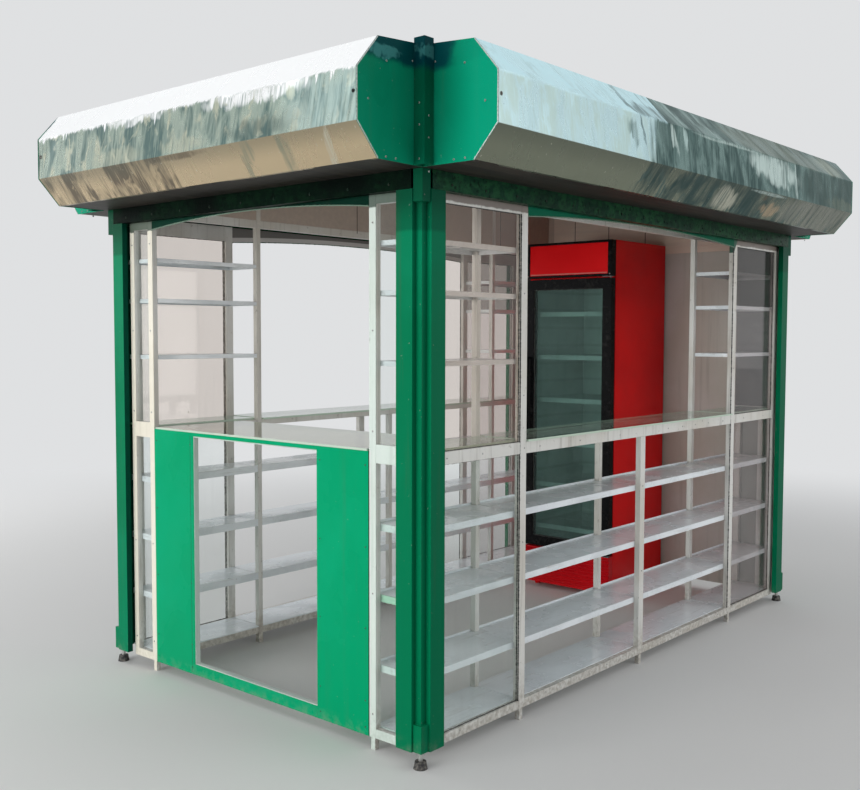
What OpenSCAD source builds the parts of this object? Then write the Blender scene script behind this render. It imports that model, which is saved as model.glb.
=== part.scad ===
// Street kiosk: a glazed display stall on four green corner posts, under a deep sheet-metal canopy.
// The origin is on the ground at the middle of the plan. The serving front faces -Y, the entry side faces -X.
// A piece is drawn at the front left corner, where the outer faces of the post wings are x = 0 and y = 0,
// and is then carried to its own corner or side.

/* [Overall] */
// Length of the serving front, between the outer faces of the corner posts
kiosk_l = 3050; // [2800:1:3400]
// Depth of the kiosk, between the outer faces of the corner posts
kiosk_w = 1845; // [1700:1:2200]
// Height of the underside of the top beams
beam_z = 1943; // [1860:1:2100]
// Height of the top of the counter rails
counter_z = 1065; // [1050:1:1120]

/* [Corner posts] */
// Width of each of the two wings of a corner post
wing_w = 73; // [60:1:74]
// Thickness of a wing
wing_t = 25; // [18:1:30]
// Distance of a wing from the outer corner, which leaves the corner as a square notch
notch = 45; // [42:1:50]
// Side of the square rib in the corner notch
rib_w = 25; // [18:1:30]
// Side of the sleeve round the foot of the rib
sleeve_w = 37; // [32:1:42]
// Height of the sleeve round the foot of the rib
sleeve_h = 95; // [60:1:140]
// Side of the square socket round the head of the rib
socket_w = 41; // [34:1:43]
// How far the socket reaches below the beams
socket_drop = 43; // [20:1:80]
// Wall of the posts, beams and corner tubes
steel_wall = 2; // [1.5:0.1:4]
// Height of the lower end of the posts
post_z = 60; // [50:1:90]
// Diameter of the foot under a post
foot_d = 49; // [40:1:54]
// Diameter of the top of the foot's pad
foot_top_d = 39; // [30:1:40]
// Height of the foot's round pad
foot_pad_h = 26; // [16:1:34]
// Diameter of the foot's stem
stem_d = 16; // [10:1:20]
// Width of the lock nut on the stem, across its flats
nut_w = 27; // [22:1:32]
// Height of the lock nut
nut_h = 9; // [6:1:12]

/* [Top beams] */
// Height of the beams
beam_h = 64; // [50:1:90]
// Depth of the beams, which sets the frames and sheets back from the posts
beam_d = 39; // [32:1:44]
// Distance of a beam's end from the outer corner
beam_end = 50; // [48:1:56]

/* [Canopy] */
// How far the fascia stands out from the posts
canopy_out = 312; // [260:1:360]
// Width of the sloping edges of the fascia, seen from above
chamfer_out = 92; // [60:1:120]
// Height of the sloping lower edge of the fascia
chamfer_low_h = 103; // [70:1:130]
// Height of the upright middle of the fascia
fascia_mid_h = 162; // [120:1:220]
// Height of the sloping upper edge of the fascia
chamfer_high_h = 106; // [70:1:130]
// Thickness of the fascia sheet
fascia_t = 2; // [1:0.1:3]
// Width of the flange that the fascia turns in on the roof
top_flange = 34; // [20:1:60]
// Width of the flange that the fascia turns in under the soffit
low_flange = 16; // [10:1:30]
// How far the fascia and its end plates pass the corner posts
corner_set = 10; // [6:1:16]
// Thickness of the end plates
plate_t = 3; // [2:0.5:5]
// How far the end plates rise from the fascia's top to the corner tube
plate_rise = 16; // [6:1:24]
// Side of the square tube at each canopy corner
tube_w = 45; // [36:1:60]
// How far the corner tubes stand above the end plates
tube_rise = 12; // [4:1:20]
// Thickness of the soffit boards
soffit_t = 6; // [4:0.5:10]
// Thickness of the roof deck
deck_t = 24; // [16:1:30]
// Clearance between the roof deck and the fascias
deck_gap = 2; // [0.5:0.5:6]
// Thickness of the lining boards between the showcases and the roof
lining_t = 9; // [6:0.5:14]

/* [White frames] */
// Width of the outer frame bars
bar_w = 40; // [30:1:44]
// Depth of the frame bars
bar_t = 25; // [18:1:28]
// Width of the two frame bars beside the entry side's opening
side_bar_w = 32; // [24:1:36]
// Width of the frame bars beside the corner posts on the ends
end_bar_w = 29; // [22:1:34]
// Height of the lower end of the frames
frame_z = 45; // [30:1:52]
// Height of the bottom rails
bottom_rail_h = 33; // [20:1:34]
// Height of the front and back counter rails
counter_rail_h = 45; // [30:1:60]
// Height of the counter rails on the ends of the showcases
end_rail_h = 66; // [40:1:80]
// How far the end bays' top rails reach below the beams
top_rail_drop = 31; // [20:1:50]
// How far the frames overlap the inner face of the beams
frame_lap = 37; // [20:1:44]
// Height of the inner top rails
inner_top_rail_h = 36; // [24:1:44]
// How far the inner top rails rise past the other frame bars
inner_rise = 16; // [8:1:22]
// Side of the square legs that carry the frames on the ground
leg_w = 20; // [14:1:25]
// Clearance between frame bars that meet, and round panes and shelves
fit_gap = 0.3; // [0.1:0.05:0.5]

/* [Showcases] */
// Distance of a showcase's inner face from the outer face of the posts
case_d = 280; // [240:1:340]
// Place of the first frame bar, from the outer corner
first_bar_x = 90; // [84:1:100]
// Place of the bar between an end bay and the serving opening, from the outer corner
bay_bar_x = 601; // [520:1:700]
// Place of the bar beside the corner post on an end, from the outer corner
end_bar_y = 116; // [112:1:124]
// Thickness of the shelf sheet
shelf_t = 2; // [1:0.1:3]
// Depth of the lip that stiffens the lower shelves
lip_h = 25; // [12:1:30]
// Depth of the lip that stiffens the upper shelves
upper_lip_h = 18; // [10:1:30]
// Depth of the lip of the bottom shelves, which lie on the inner bottom rails
bottom_lip_h = 5; // [4:0.5:12]
// Width of the return along the lower edge of a lip
lip_return = 8; // [5:0.5:12]
// Height of the hem along the inner edge of the lower shelves
shelf_hem = 8; // [3:0.5:15]
// Gap between neighbouring shelves
shelf_gap = 4; // [1:0.5:8]
// Height of the top of the bottom shelves
bottom_shelf_z = 80; // [79:1:90]
// Height of the second shelf from below on the front
front_first_z = 302; // [240:1:330]
// Distance between the lower shelves of the front
front_pitch = 251; // [200:1:252]
// Height of the second shelf from below on the back
back_first_z = 330; // [240:1:340]
// Distance between the lower shelves of the back
back_pitch = 256; // [200:1:260]
// Height of the lowest upper shelf
upper_low_z = 1375; // [1250:1:1400]
// Height of the middle upper shelf
upper_mid_z = 1618; // [1500:1:1640]
// Height of the highest upper shelf
upper_high_z = 1790; // [1720:1:1840]
// Thickness of the glass panes
pane_t = 4; // [3:0.5:6]
// Thickness of the glass counter tops
counter_t = 8; // [5:1:12]
// How far the glass counter tops stand out past the frames
counter_over = 10; // [0:1:13]

/* [Entry side] */
// Distance of the doorway from the front corner
doorway_y = 548; // [420:1:640]
// Width of the doorway
doorway_w = 742; // [560:1:780]
// Height of the doorway's sill
sill_z = 90; // [70:1:160]
// Height of the green rail over the doorway
door_head_h = 15; // [12:1:60]
// Thickness of the pale lining on the doorway's far jamb
jamb_trim_t = 2; // [1:0.5:6]
// Thickness of the pale strips along the doorway's sill and head
trim_t = 4; // [2:0.5:8]
// How far the pale strips stay behind the faces of the panel
trim_inset = 1; // [0.5:0.5:4]
// Depth of the counter board over the entry panel, from the outer face of the posts
side_counter_d = 500; // [300:1:560]
// Thickness of the counter board over the entry panel
side_counter_t = 8; // [5:1:12]
// How far the counter board over the entry panel rises past the counter rails
side_counter_rise = 3; // [0:0.5:6]

/* [Valances] */
// How far the ends of an arched valance reach below the beams
valance_end = 35; // [20:1:60]
// How far the middle of an arched valance reaches below the beams
valance_mid = 2; // [1:0.5:15]
// Thickness of the valance sheet
valance_t = 2; // [1:0.1:3]

/* [Right wall] */
// Thickness of the wall sheet
wall_sheet_t = 4; // [2:0.5:6]

/* [Drinks cooler] */
// Width of the cooler
cooler_w = 570; // [500:1:620]
// Height of the cooler
cooler_h = 1988; // [1900:1:1992]
// Depth of the cabinet behind the door
cabinet_d = 553; // [480:1:600]
// Clearance behind the cooler
cooler_back_gap = 11; // [4:1:30]
// Distance of the cooler's near side from the front of the kiosk
cooler_y = 737; // [700:1:900]
// Wall of the cabinet
cabinet_wall = 40; // [25:1:55]
// Height of the cooler's feet
cooler_foot_h = 30; // [20:1:45]
// Diameter of the cooler's feet
cooler_foot_d = 32; // [20:1:44]
// Distance of the cooler's feet from the sides of the cabinet
cooler_foot_in = 40; // [26:1:80]
// Thickness of the door, the header and the grille
front_t = 40; // [32:1:50]
// Height of the lighted header
header_h = 198; // [140:1:240]
// Height of the black edge round the header panel
header_edge = 26; // [15:1:40]
// Thickness of the header panel
panel_t = 6; // [3:0.5:10]
// How far the header panel is set back
panel_set = 2; // [1:0.5:6]
// Width of the door's black frame
stile_w = 56; // [40:1:70]
// Thickness of the door glass
door_glass_t = 18; // [10:1:24]
// Running gap round the door
door_gap = 6; // [5:0.5:8]
// Height of the louvred grille
grille_h = 205; // [160:1:230]
// Number of louvres in the grille
louvres = 9; // [5:1:12]
// Depth of the louvres, and height of the plain edges above and below them
louvre_d = 10; // [6:1:14]
// Share of a louvre's height that slopes outwards
louvre_slope = 0.75; // [0.6:0.05:0.9]
// Number of shelves in the cooler
cooler_shelves = 6; // [3:1:7]
// Diameter of the wires of the cooler's shelves
wire_d = 5; // [4:0.5:8]
// Number of wires across a cooler shelf
shelf_wires = 12; // [8:1:20]
// Distance of the cooler's shelves from the door end of the cabinet
wire_shelf_in = 12; // [4:1:20]
// Gap between the cooler's shelves and the back of its cabinet
wire_shelf_back = 23; // [5:1:60]
// Height of the lowest shelf over the cabinet's floor, as a share of the distance between two
first_shelf = 0.35; // [0.2:0.05:0.8]
// Diameter of the door's hinge pins
pin_d = 8; // [6:0.5:10]
// Clearance of a hinge pin in its bore, across both sides
pin_clearance = 0.1; // [0.1:0.1:0.6]
// Distance of the hinge pins from the near edge and from the face of the door
pin_in = 10; // [8:0.5:14]
// How far the hinge pins reach into the door
pin_depth = 15; // [8:1:24]
// Length of the hinge plates
hinge_plate_l = 60; // [40:1:90]
// Width of the hinge plates
hinge_plate_w = 26; // [22:1:36]
// Thickness of the hinge plates
hinge_plate_t = 3; // [2:0.5:4]
// Length of the bar handle on the door
handle_l = 560; // [300:1:800]
// Height of the middle of the handle
handle_z = 1060; // [800:1:1200]
// Width of the handle
handle_w = 20; // [14:1:30]
// How far the handle stands out from the door
handle_out = 34; // [28:1:45]
// Thickness of the handle's grip, and height of its two ends
handle_t = 12; // [8:1:16]

/* [Hidden] */
$fn = 48;

GREEN = [0.02, 0.60, 0.40];
WHITE = [0.90, 0.91, 0.92];
SHELF_WHITE = [0.86, 0.90, 0.94];
SHEET_METAL = [0.72, 0.75, 0.74];
SOFFIT_BROWN = [0.20, 0.15, 0.13];
LINING = [0.62, 0.53, 0.48];
GLASS = [0.75, 0.85, 0.85, 0.35];
BLACK = [0.05, 0.05, 0.06];
RED = [0.70, 0.02, 0.04];

// How far a cut reaches past the face that it opens
past = 1;
beam_top = beam_z + beam_h;
frame_top = beam_z + frame_lap;
low_z = beam_top - fascia_t;
mid_low_z = low_z + chamfer_low_h;
mid_high_z = mid_low_z + fascia_mid_h;
top_z = mid_high_z + chamfer_high_h;
soffit_out = canopy_out - chamfer_out;
deck_z = top_z - fascia_t - deck_t;
plate_in = corner_set - plate_t;
case_back = beam_d + bar_t;
inner_rail_y = case_d - bar_t;
inner_top = frame_top + inner_rise;
inner_top_z = inner_top - inner_top_rail_h;
pane_y = beam_d + (bar_t - pane_t) / 2;
mid_bar_x = (kiosk_l - bar_w) / 2;
last_bay_x = kiosk_l - bay_bar_x - bar_w;
last_bar_x = kiosk_l - first_bar_x - bar_w;
post_in = (bar_w - bar_t) / 2;
panel_top = counter_z + side_counter_rise - side_counter_t;
door_head = panel_top - door_head_h;
cooler_back_x = kiosk_l - beam_d - cooler_back_gap;
cabinet_x = cooler_back_x - cabinet_d;
wire_shelf_d = cabinet_d - cabinet_wall - wire_shelf_in - wire_shelf_back;
cooler_front_x = cabinet_x - door_gap - front_t;
header_z = cooler_h - header_h;
grille_z1 = cooler_foot_h + grille_h;
door_z0 = grille_z1 + hinge_plate_t + door_gap;
door_z1 = header_z - hinge_plate_t - door_gap;
door_h = door_z1 - door_z0;
cavity_z0 = door_z0 + stile_w / 2;
cavity_h = door_h - stile_w;
pin_x = cooler_front_x + pin_in;
pin_y = cooler_y + pin_in;

// Carries what is drawn at the front left corner to the kiosk's own frame
module placed() {
    translate([-kiosk_l / 2, -kiosk_w / 2, 0]) children();
}

// Puts a copy of the front's piece, or of a corner's, on the back
module on_back() {
    mirror([0, 1, 0]) children();
}

// Puts a copy of the entry side's piece, or of a corner's, on the right
module on_right() {
    mirror([1, 0, 0]) children();
}

// A copy at each of the four corners
module at_corners() {
    children();
    on_right() children();
    on_back() children();
    on_right() on_back() children();
}

// A square or oblong tube along Z, open at both ends
module tube(size, wall, h) {
    linear_extrude(h) difference() {
        square(size);
        translate([wall, wall]) square([size[0] - 2 * wall, size[1] - 2 * wall]);
    }
}

// A bar between two places along X
module bar_x(x0, x1, y, z0, z1, depth) {
    translate([x0 + fit_gap, y, z0]) cube([x1 - x0 - 2 * fit_gap, depth, z1 - z0]);
}

// A bar between two places along Y
module bar_y(y0, y1, x, z0, z1, depth) {
    translate([x, y0 + fit_gap, z0]) cube([depth, y1 - y0 - 2 * fit_gap, z1 - z0]);
}

module corner_post() {
    h = beam_z - post_z;
    rib_x = notch - rib_w;
    color(GREEN) placed() union() {
        translate([notch, 0, post_z]) tube([wing_w, wing_t], steel_wall, h);
        translate([0, notch, post_z]) tube([wing_t, wing_w], steel_wall, h);
        translate([rib_x, rib_x, post_z]) cube([rib_w, rib_w, h]);
        translate([notch - sleeve_w, notch - sleeve_w, post_z]) cube([sleeve_w, sleeve_w, sleeve_h]);
        translate([notch - socket_w, notch - socket_w, beam_z - socket_drop])
            cube([socket_w, socket_w, socket_drop + beam_h]);
    }
}

module post_front_left() { corner_post(); }
module post_front_right() { on_right() corner_post(); }
module post_back_left() { on_back() corner_post(); }
module post_back_right() { on_right() on_back() corner_post(); }

// A levelling foot: a round pad, and a stem up to the lower end of the rib, with a lock nut under the sleeve
module foot() {
    centre = notch - rib_w / 2;
    placed() translate([centre, centre, 0]) {
        cylinder(d1 = foot_d, d2 = foot_top_d, h = foot_pad_h);
        cylinder(d = stem_d, h = post_z);
        translate([0, 0, post_z - nut_h]) cylinder(d = nut_w / cos(30), h = nut_h, $fn = 6);
    }
}

module feet() {
    color(BLACK) at_corners() foot();
}

// A top beam along X, with its outer face flush with the post wings
module long_beam() {
    color(GREEN) placed() translate([beam_end, 0, beam_z]) rotate([90, 0, 90])
        tube([beam_d, beam_h], steel_wall, kiosk_l - 2 * beam_end);
}

// A top beam along Y
module short_beam() {
    color(GREEN) placed() translate([beam_d, beam_end, beam_z]) rotate([90, 0, 180])
        tube([beam_d, beam_h], steel_wall, kiosk_w - 2 * beam_end);
}

module beam_front() { long_beam(); }
module beam_back() { on_back() long_beam(); }
module beam_left() { short_beam(); }
module beam_right() { on_right() short_beam(); }

// Outline of the canopy edge, from the roof flange round to the soffit flange: [outward, height]
function fascia_edge(inset) =
    let (
        low_run = norm([chamfer_out, chamfer_low_h]),
        high_run = norm([chamfer_out, chamfer_high_h]),
        low_bend = inset * (low_run - chamfer_out) / chamfer_low_h,
        high_bend = inset * (high_run - chamfer_out) / chamfer_high_h,
        low_turn = inset * (low_run - chamfer_low_h) / chamfer_out,
        high_turn = inset * (high_run - chamfer_high_h) / chamfer_out
    ) [
        [soffit_out - top_flange, top_z - inset],
        [soffit_out - high_bend, top_z - inset],
        [canopy_out - inset, mid_high_z - high_turn],
        [canopy_out - inset, mid_low_z + low_turn],
        [soffit_out - low_bend, low_z + inset],
        [soffit_out - low_flange, low_z + inset]
    ];

// The bent sheet of one side of the canopy, between its two end plates. It is drawn along X, about the middle
module fascia(length) {
    outer = fascia_edge(0);
    inner = fascia_edge(fascia_t);
    profile = concat(outer, [for (i = [len(inner) - 1 : -1 : 0]) inner[i]]);
    color(SHEET_METAL) rotate([90, 0, 90]) linear_extrude(length + 2 * plate_in, center = true)
        mirror([1, 0]) polygon(profile);
}

module fascia_front() { translate([0, -kiosk_w / 2, 0]) fascia(kiosk_l); }
module fascia_back() { on_back() fascia_front(); }
module fascia_left() { translate([-kiosk_l / 2, 0, 0]) rotate([0, 0, -90]) fascia(kiosk_w); }
module fascia_right() { on_right() fascia_left(); }

// The eight-sided plate that closes one end of a fascia and rises to the corner tube
module end_plate() {
    inner = corner_set + fit_gap;
    linear_extrude(plate_t) polygon([
        [inner, low_z],
        [soffit_out, low_z],
        [canopy_out, mid_low_z],
        [canopy_out, mid_high_z],
        [soffit_out, top_z],
        [inner, top_z + plate_rise]
    ]);
}

module fascia_end_plates() {
    color(GREEN) at_corners() placed() {
        translate([-corner_set, 0, 0]) mirror([0, 1, 0]) rotate([90, 0, 90]) end_plate();
        translate([0, -plate_in, 0]) mirror([1, 0, 0]) rotate([90, 0, 0]) end_plate();
    }
}

module canopy_corner_tubes() {
    color(GREEN) at_corners() placed() translate([-corner_set - tube_w, -corner_set - tube_w, low_z])
        tube([tube_w, tube_w], steel_wall, top_z + plate_rise + tube_rise - low_z);
}

// The boards under the canopy. The long ones also close the top of the showcases
module soffit_boards() {
    out = soffit_out - fascia_t;
    inside = case_d - lining_t - fit_gap;
    color(SOFFIT_BROWN) {
        for (back = [0, 1]) mirror([0, back, 0]) placed() translate([-plate_in, -out, beam_top])
            cube([kiosk_l + 2 * plate_in, out + inside, soffit_t]);
        for (right = [0, 1]) mirror([right, 0, 0]) placed() translate([0, 0, beam_top]) union() {
            translate([-out, -plate_in, 0])
                cube([out - plate_in - fit_gap, kiosk_w + 2 * plate_in, soffit_t]);
            translate([-out, inside + fit_gap, 0])
                cube([out + beam_d - fit_gap, kiosk_w - 2 * (inside + fit_gap), soffit_t]);
        }
    }
}

// The roof deck fills the plan inside the fascias, with its corners notched for the tubes
module roof_deck() {
    out = soffit_out - fascia_t - deck_gap;
    color(LINING) placed() translate([0, 0, deck_z]) linear_extrude(deck_t) union() {
        translate([-plate_in, -out]) square([kiosk_l + 2 * plate_in, kiosk_w + 2 * out]);
        translate([-out, -plate_in]) square([kiosk_l + 2 * out, kiosk_w + 2 * plate_in]);
    }
}

module lining_boards() {
    color(LINING) {
        for (back = [0, 1]) mirror([0, back, 0]) placed()
            bar_x(beam_d, kiosk_l - beam_d, case_d - lining_t, inner_top, deck_z, lining_t);
        for (right = [0, 1]) mirror([right, 0, 0]) placed()
            bar_y(case_d, kiosk_w - case_d, beam_d, frame_top + fit_gap, deck_z, lining_t);
    }
}

// A frame bar that stands in the outer face, with its leg
module upright(x, top, leg = true) {
    translate([x, beam_d, frame_z]) cube([bar_w, bar_t, top - frame_z]);
    if (leg)
        translate([x + (bar_w - leg_w) / 2, beam_d + (bar_t - leg_w) / 2, 0]) cube([leg_w, leg_w, frame_z]);
}

// Outer and inner uprights of the showcase along the front
module case_uprights() {
    color(WHITE) placed() {
        upright(first_bar_x, frame_top, false);
        upright(bay_bar_x, frame_top);
        upright(mid_bar_x, counter_z - counter_rail_h - fit_gap);
        upright(last_bay_x, frame_top);
        upright(last_bar_x, frame_top, false);
        for (x = [bay_bar_x, last_bay_x]) translate([x + post_in, inner_rail_y, 0])
            cube([bar_t, bar_t, inner_top_z - fit_gap]);
        translate([mid_bar_x + post_in, inner_rail_y, 0])
            cube([bar_t, bar_t, counter_z - bar_t - fit_gap]);
    }
}

// Rails between the outer uprights, and between the inner posts
module case_rails() {
    low_z1 = frame_z + bottom_rail_h;
    color(WHITE) placed() {
        for (span = [
            [first_bar_x + bar_w, bay_bar_x],
            [bay_bar_x + bar_w, mid_bar_x],
            [mid_bar_x + bar_w, last_bay_x],
            [last_bay_x + bar_w, last_bar_x]
        ]) bar_x(span[0], span[1], beam_d, frame_z, low_z1, bar_t);
        for (span = [
            [first_bar_x + bar_w, bay_bar_x],
            [bay_bar_x + bar_w, last_bay_x],
            [last_bay_x + bar_w, last_bar_x]
        ]) bar_x(span[0], span[1], beam_d, counter_z - counter_rail_h, counter_z, bar_t);
        for (span = [[first_bar_x + bar_w, bay_bar_x], [last_bay_x + bar_w, last_bar_x]])
            bar_x(span[0], span[1], beam_d, beam_z - top_rail_drop, frame_top, bar_t);
        for (span = [
            [case_back, bay_bar_x + post_in],
            [bay_bar_x + bar_w - post_in, mid_bar_x + post_in],
            [mid_bar_x + bar_w - post_in, last_bay_x + post_in],
            [last_bay_x + bar_w - post_in, kiosk_l - case_back]
        ]) bar_x(span[0], span[1], inner_rail_y, frame_z, bottom_shelf_z - bottom_lip_h, bar_t);
        for (span = [
            [case_back, bay_bar_x + post_in],
            [bay_bar_x + bar_w - post_in, last_bay_x + post_in],
            [last_bay_x + bar_w - post_in, kiosk_l - case_back]
        ]) bar_x(span[0], span[1], inner_rail_y, counter_z - bar_t, counter_z, bar_t);
        bar_x(case_back, kiosk_l - case_back, inner_rail_y, inner_top_z,
            inner_top_z + inner_top_rail_h, bar_t);
    }
}

// One shelf: a sheet with its edges folded down, the long ones returned, and notched round the inner posts.
// A lower shelf also has a hem along its inner edge
module shelf(x0, x1, z, lip, hem = 0) {
    depth = case_d - case_back;
    length = x1 - x0 - shelf_gap;
    profile = [
        [0, 0], [depth, 0], [depth, -lip], [depth - lip_return, -lip],
        [depth - lip_return, shelf_t - lip], [depth - shelf_t, shelf_t - lip], [depth - shelf_t, -shelf_t],
        [shelf_t, -shelf_t], [shelf_t, shelf_t - lip], [lip_return, shelf_t - lip],
        [lip_return, -lip], [0, -lip]
    ];
    difference() {
        translate([x0 + shelf_gap / 2, case_back, z]) union() {
            rotate([90, 0, 90]) linear_extrude(length) polygon(profile);
            for (x = [0, length - shelf_t]) translate([x, 0, -lip]) cube([shelf_t, depth, lip]);
            translate([0, depth - shelf_t, -shelf_t]) cube([length, shelf_t, shelf_t + hem]);
        }
        for (x = [bay_bar_x, mid_bar_x, last_bay_x])
            translate([x + post_in - fit_gap, inner_rail_y - fit_gap, z - lip - past])
                cube([bar_t + 2 * fit_gap, bar_t + fit_gap + past, lip + hem + 2 * past]);
    }
}

// The shelves of one showcase, bay by bay
module case_shelves(first_z, pitch) {
    joints = [
        case_back, bay_bar_x + bar_w / 2, kiosk_l / 2, last_bay_x + bar_w / 2, kiosk_l - case_back
    ];
    levels = [bottom_shelf_z, first_z, first_z + pitch, first_z + 2 * pitch];
    color(SHELF_WHITE) placed() {
        for (i = [0 : 3]) {
            shelf(joints[i], joints[i + 1], levels[0], bottom_lip_h);
            for (k = [1 : 3]) shelf(joints[i], joints[i + 1], levels[k], lip_h, shelf_hem);
        }
        for (i = [0, 3]) for (z = [upper_low_z, upper_mid_z, upper_high_z])
            shelf(joints[i], joints[i + 1], z, upper_lip_h);
    }
}

// The glass top of the counter: one sheet along the opening, and one in each end bay
module case_counter() {
    color(GLASS) placed() {
        bar_x(bay_bar_x + bar_w, last_bay_x, beam_d - counter_over, counter_z, counter_z + counter_t,
            case_d + 2 * counter_over - beam_d);
        bar_x(case_back, bay_bar_x + post_in, case_back, counter_z, counter_z + counter_t,
            inner_rail_y - case_back);
        bar_x(last_bay_x + bar_w - post_in, kiosk_l - case_back, case_back, counter_z,
            counter_z + counter_t, inner_rail_y - case_back);
    }
}

// Panes between the frame bars, along the front and in the narrow end beside the entry
module case_glass() {
    low = frame_z + bottom_rail_h + fit_gap;
    rail = counter_z - counter_rail_h - fit_gap;
    over = counter_z + fit_gap;
    over_end = counter_z - counter_rail_h + end_rail_h + fit_gap;
    top = beam_z - top_rail_drop - fit_gap;
    color(GLASS) placed() {
        for (span = [[first_bar_x + bar_w, bay_bar_x], [last_bay_x + bar_w, last_bar_x]]) {
            bar_x(span[0], span[1], pane_y, low, rail, pane_t);
            bar_x(span[0], span[1], pane_y, over, top, pane_t);
        }
        bar_y(end_bar_y + end_bar_w, case_d - side_bar_w, pane_y, low, rail, pane_t);
        bar_y(end_bar_y + end_bar_w, case_d - side_bar_w, pane_y, over_end, top, pane_t);
    }
}

module front_uprights() { case_uprights(); }
module back_uprights() { on_back() case_uprights(); }
module front_rails() { case_rails(); }
module back_rails() { on_back() case_rails(); }
module front_shelves() { case_shelves(front_first_z, front_pitch); }
module back_shelves() { on_back() case_shelves(back_first_z, back_pitch); }
module front_counter() { case_counter(); }
module back_counter() { on_back() case_counter(); }
module front_glass() { case_glass(); }
module back_glass() { on_back() case_glass(); }

// Upright bars and short rails on one end of the kiosk
module end_frame() {
    color(WHITE) placed() {
        for (y = [end_bar_y, kiosk_w - end_bar_y - end_bar_w])
            translate([beam_d, y, frame_z]) cube([bar_t, end_bar_w, frame_top - frame_z]);
        for (y = [case_d - side_bar_w, kiosk_w - case_d]) {
            translate([beam_d, y, frame_z]) cube([bar_t, side_bar_w, frame_top - frame_z]);
            translate([beam_d + (bar_t - leg_w) / 2, y + (side_bar_w - leg_w) / 2, 0])
                cube([leg_w, leg_w, frame_z]);
        }
        for (span = [
            [end_bar_y + end_bar_w, case_d - side_bar_w],
            [kiosk_w - case_d + side_bar_w, kiosk_w - end_bar_y - end_bar_w]
        ]) {
            bar_y(span[0], span[1], beam_d, frame_z, frame_z + bottom_rail_h, bar_t);
            bar_y(span[0], span[1], beam_d, counter_z - counter_rail_h,
                counter_z - counter_rail_h + end_rail_h, bar_t);
            bar_y(span[0], span[1], beam_d, beam_z - top_rail_drop, frame_top, bar_t);
        }
    }
}

module left_frame() { end_frame(); }
module right_frame() { on_right() end_frame(); }

// The green panel under the side counter, with the doorway cut through it
module entry_panel() {
    color(GREEN) placed() difference() {
        bar_y(case_d, kiosk_w - case_d, beam_d, frame_z, panel_top, bar_t);
        translate([beam_d - past, doorway_y, sill_z]) cube([bar_t + 2 * past, doorway_w, door_head - sill_z]);
    }
}

// The pale lining of the doorway's far jamb, and pale strips along its sill and its head
module doorway_trim() {
    x = beam_d + trim_inset;
    lining_y = doorway_y + doorway_w - jamb_trim_t;
    deep = bar_t - 2 * trim_inset;
    color(WHITE) placed() {
        translate([x, lining_y, sill_z]) cube([deep, jamb_trim_t, door_head - sill_z]);
        bar_y(doorway_y, lining_y, x, sill_z, sill_z + trim_t, deep);
        bar_y(doorway_y, lining_y, x, door_head - trim_t, door_head, deep);
    }
}

// The board over the entry panel, between the glass tops of the two showcases
module left_counter() {
    color(WHITE) placed() bar_y(case_d + counter_over, kiosk_w - case_d - counter_over, beam_d,
        panel_top, panel_top + side_counter_t, side_counter_d - beam_d);
}

// The sheet that closes the right side, outside its frame
module right_wall_sheet() {
    color(WHITE) on_right() placed()
        bar_y(beam_end, kiosk_w - beam_end, beam_d - wall_sheet_t, frame_z, beam_z - fit_gap, wall_sheet_t);
}

// A sheet under a beam whose lower edge is a shallow arch
module arched_valance(span) {
    rise = valance_end - valance_mid;
    radius = (span * span / 4 + rise * rise) / (2 * rise);
    half = asin(span / 2 / radius);
    steps = 24;
    arch = [for (i = [0 : steps])
        let (a = -half + 2 * half * i / steps)
            [span / 2 + radius * sin(a), beam_z - valance_mid + radius * (cos(a) - 1)]];
    rotate([90, 0, 0]) linear_extrude(valance_t)
        polygon(concat(arch, [[span, frame_top], [0, frame_top]]));
}

module long_valance() {
    color(GREEN) placed() translate([bay_bar_x + bar_w + fit_gap, beam_d + valance_t, 0])
        arched_valance(last_bay_x - bay_bar_x - bar_w - 2 * fit_gap);
}

module valance_front() { long_valance(); }
module valance_back() { on_back() long_valance(); }
module valance_left() {
    color(GREEN) placed() translate([beam_d, case_d + fit_gap, 0]) rotate([0, 0, 90])
        arched_valance(kiosk_w - 2 * case_d - 2 * fit_gap);
}

// The cabinet of the cooler, which stands against the right wall with its door towards the entry side
module cooler_cabinet() {
    color(RED) placed() {
        difference() {
            translate([cabinet_x, cooler_y, cooler_foot_h])
                cube([cabinet_d, cooler_w, cooler_h - cooler_foot_h]);
            translate([cabinet_x - past, cooler_y + cabinet_wall, cavity_z0])
                cube([cabinet_d - cabinet_wall + past, cooler_w - 2 * cabinet_wall, cavity_h]);
        }
        for (x = [cabinet_x + cooler_foot_in, cooler_back_x - cooler_foot_in])
            for (y = [cooler_y + cooler_foot_in, cooler_y + cooler_w - cooler_foot_in])
                translate([x, y, 0]) cylinder(d = cooler_foot_d, h = cooler_foot_h);
    }
}

module cooler_header() {
    color(BLACK) placed() difference() {
        translate([cooler_front_x, cooler_y, header_z])
            cube([cabinet_x - cooler_front_x, cooler_w, header_h]);
        translate([cooler_front_x - past, cooler_y + header_edge, header_z + header_edge / 2])
            cube([past + panel_set + panel_t, cooler_w - 2 * header_edge, header_h - header_edge]);
    }
}

module cooler_header_panel() {
    y = cooler_y + header_edge + fit_gap;
    z = header_z + header_edge / 2 + fit_gap;
    wide = cooler_w - 2 * header_edge - 2 * fit_gap;
    color(RED) placed() translate([cooler_front_x + panel_set, y, z])
        cube([panel_t, wide, header_h - header_edge - 2 * fit_gap]);
}

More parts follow.
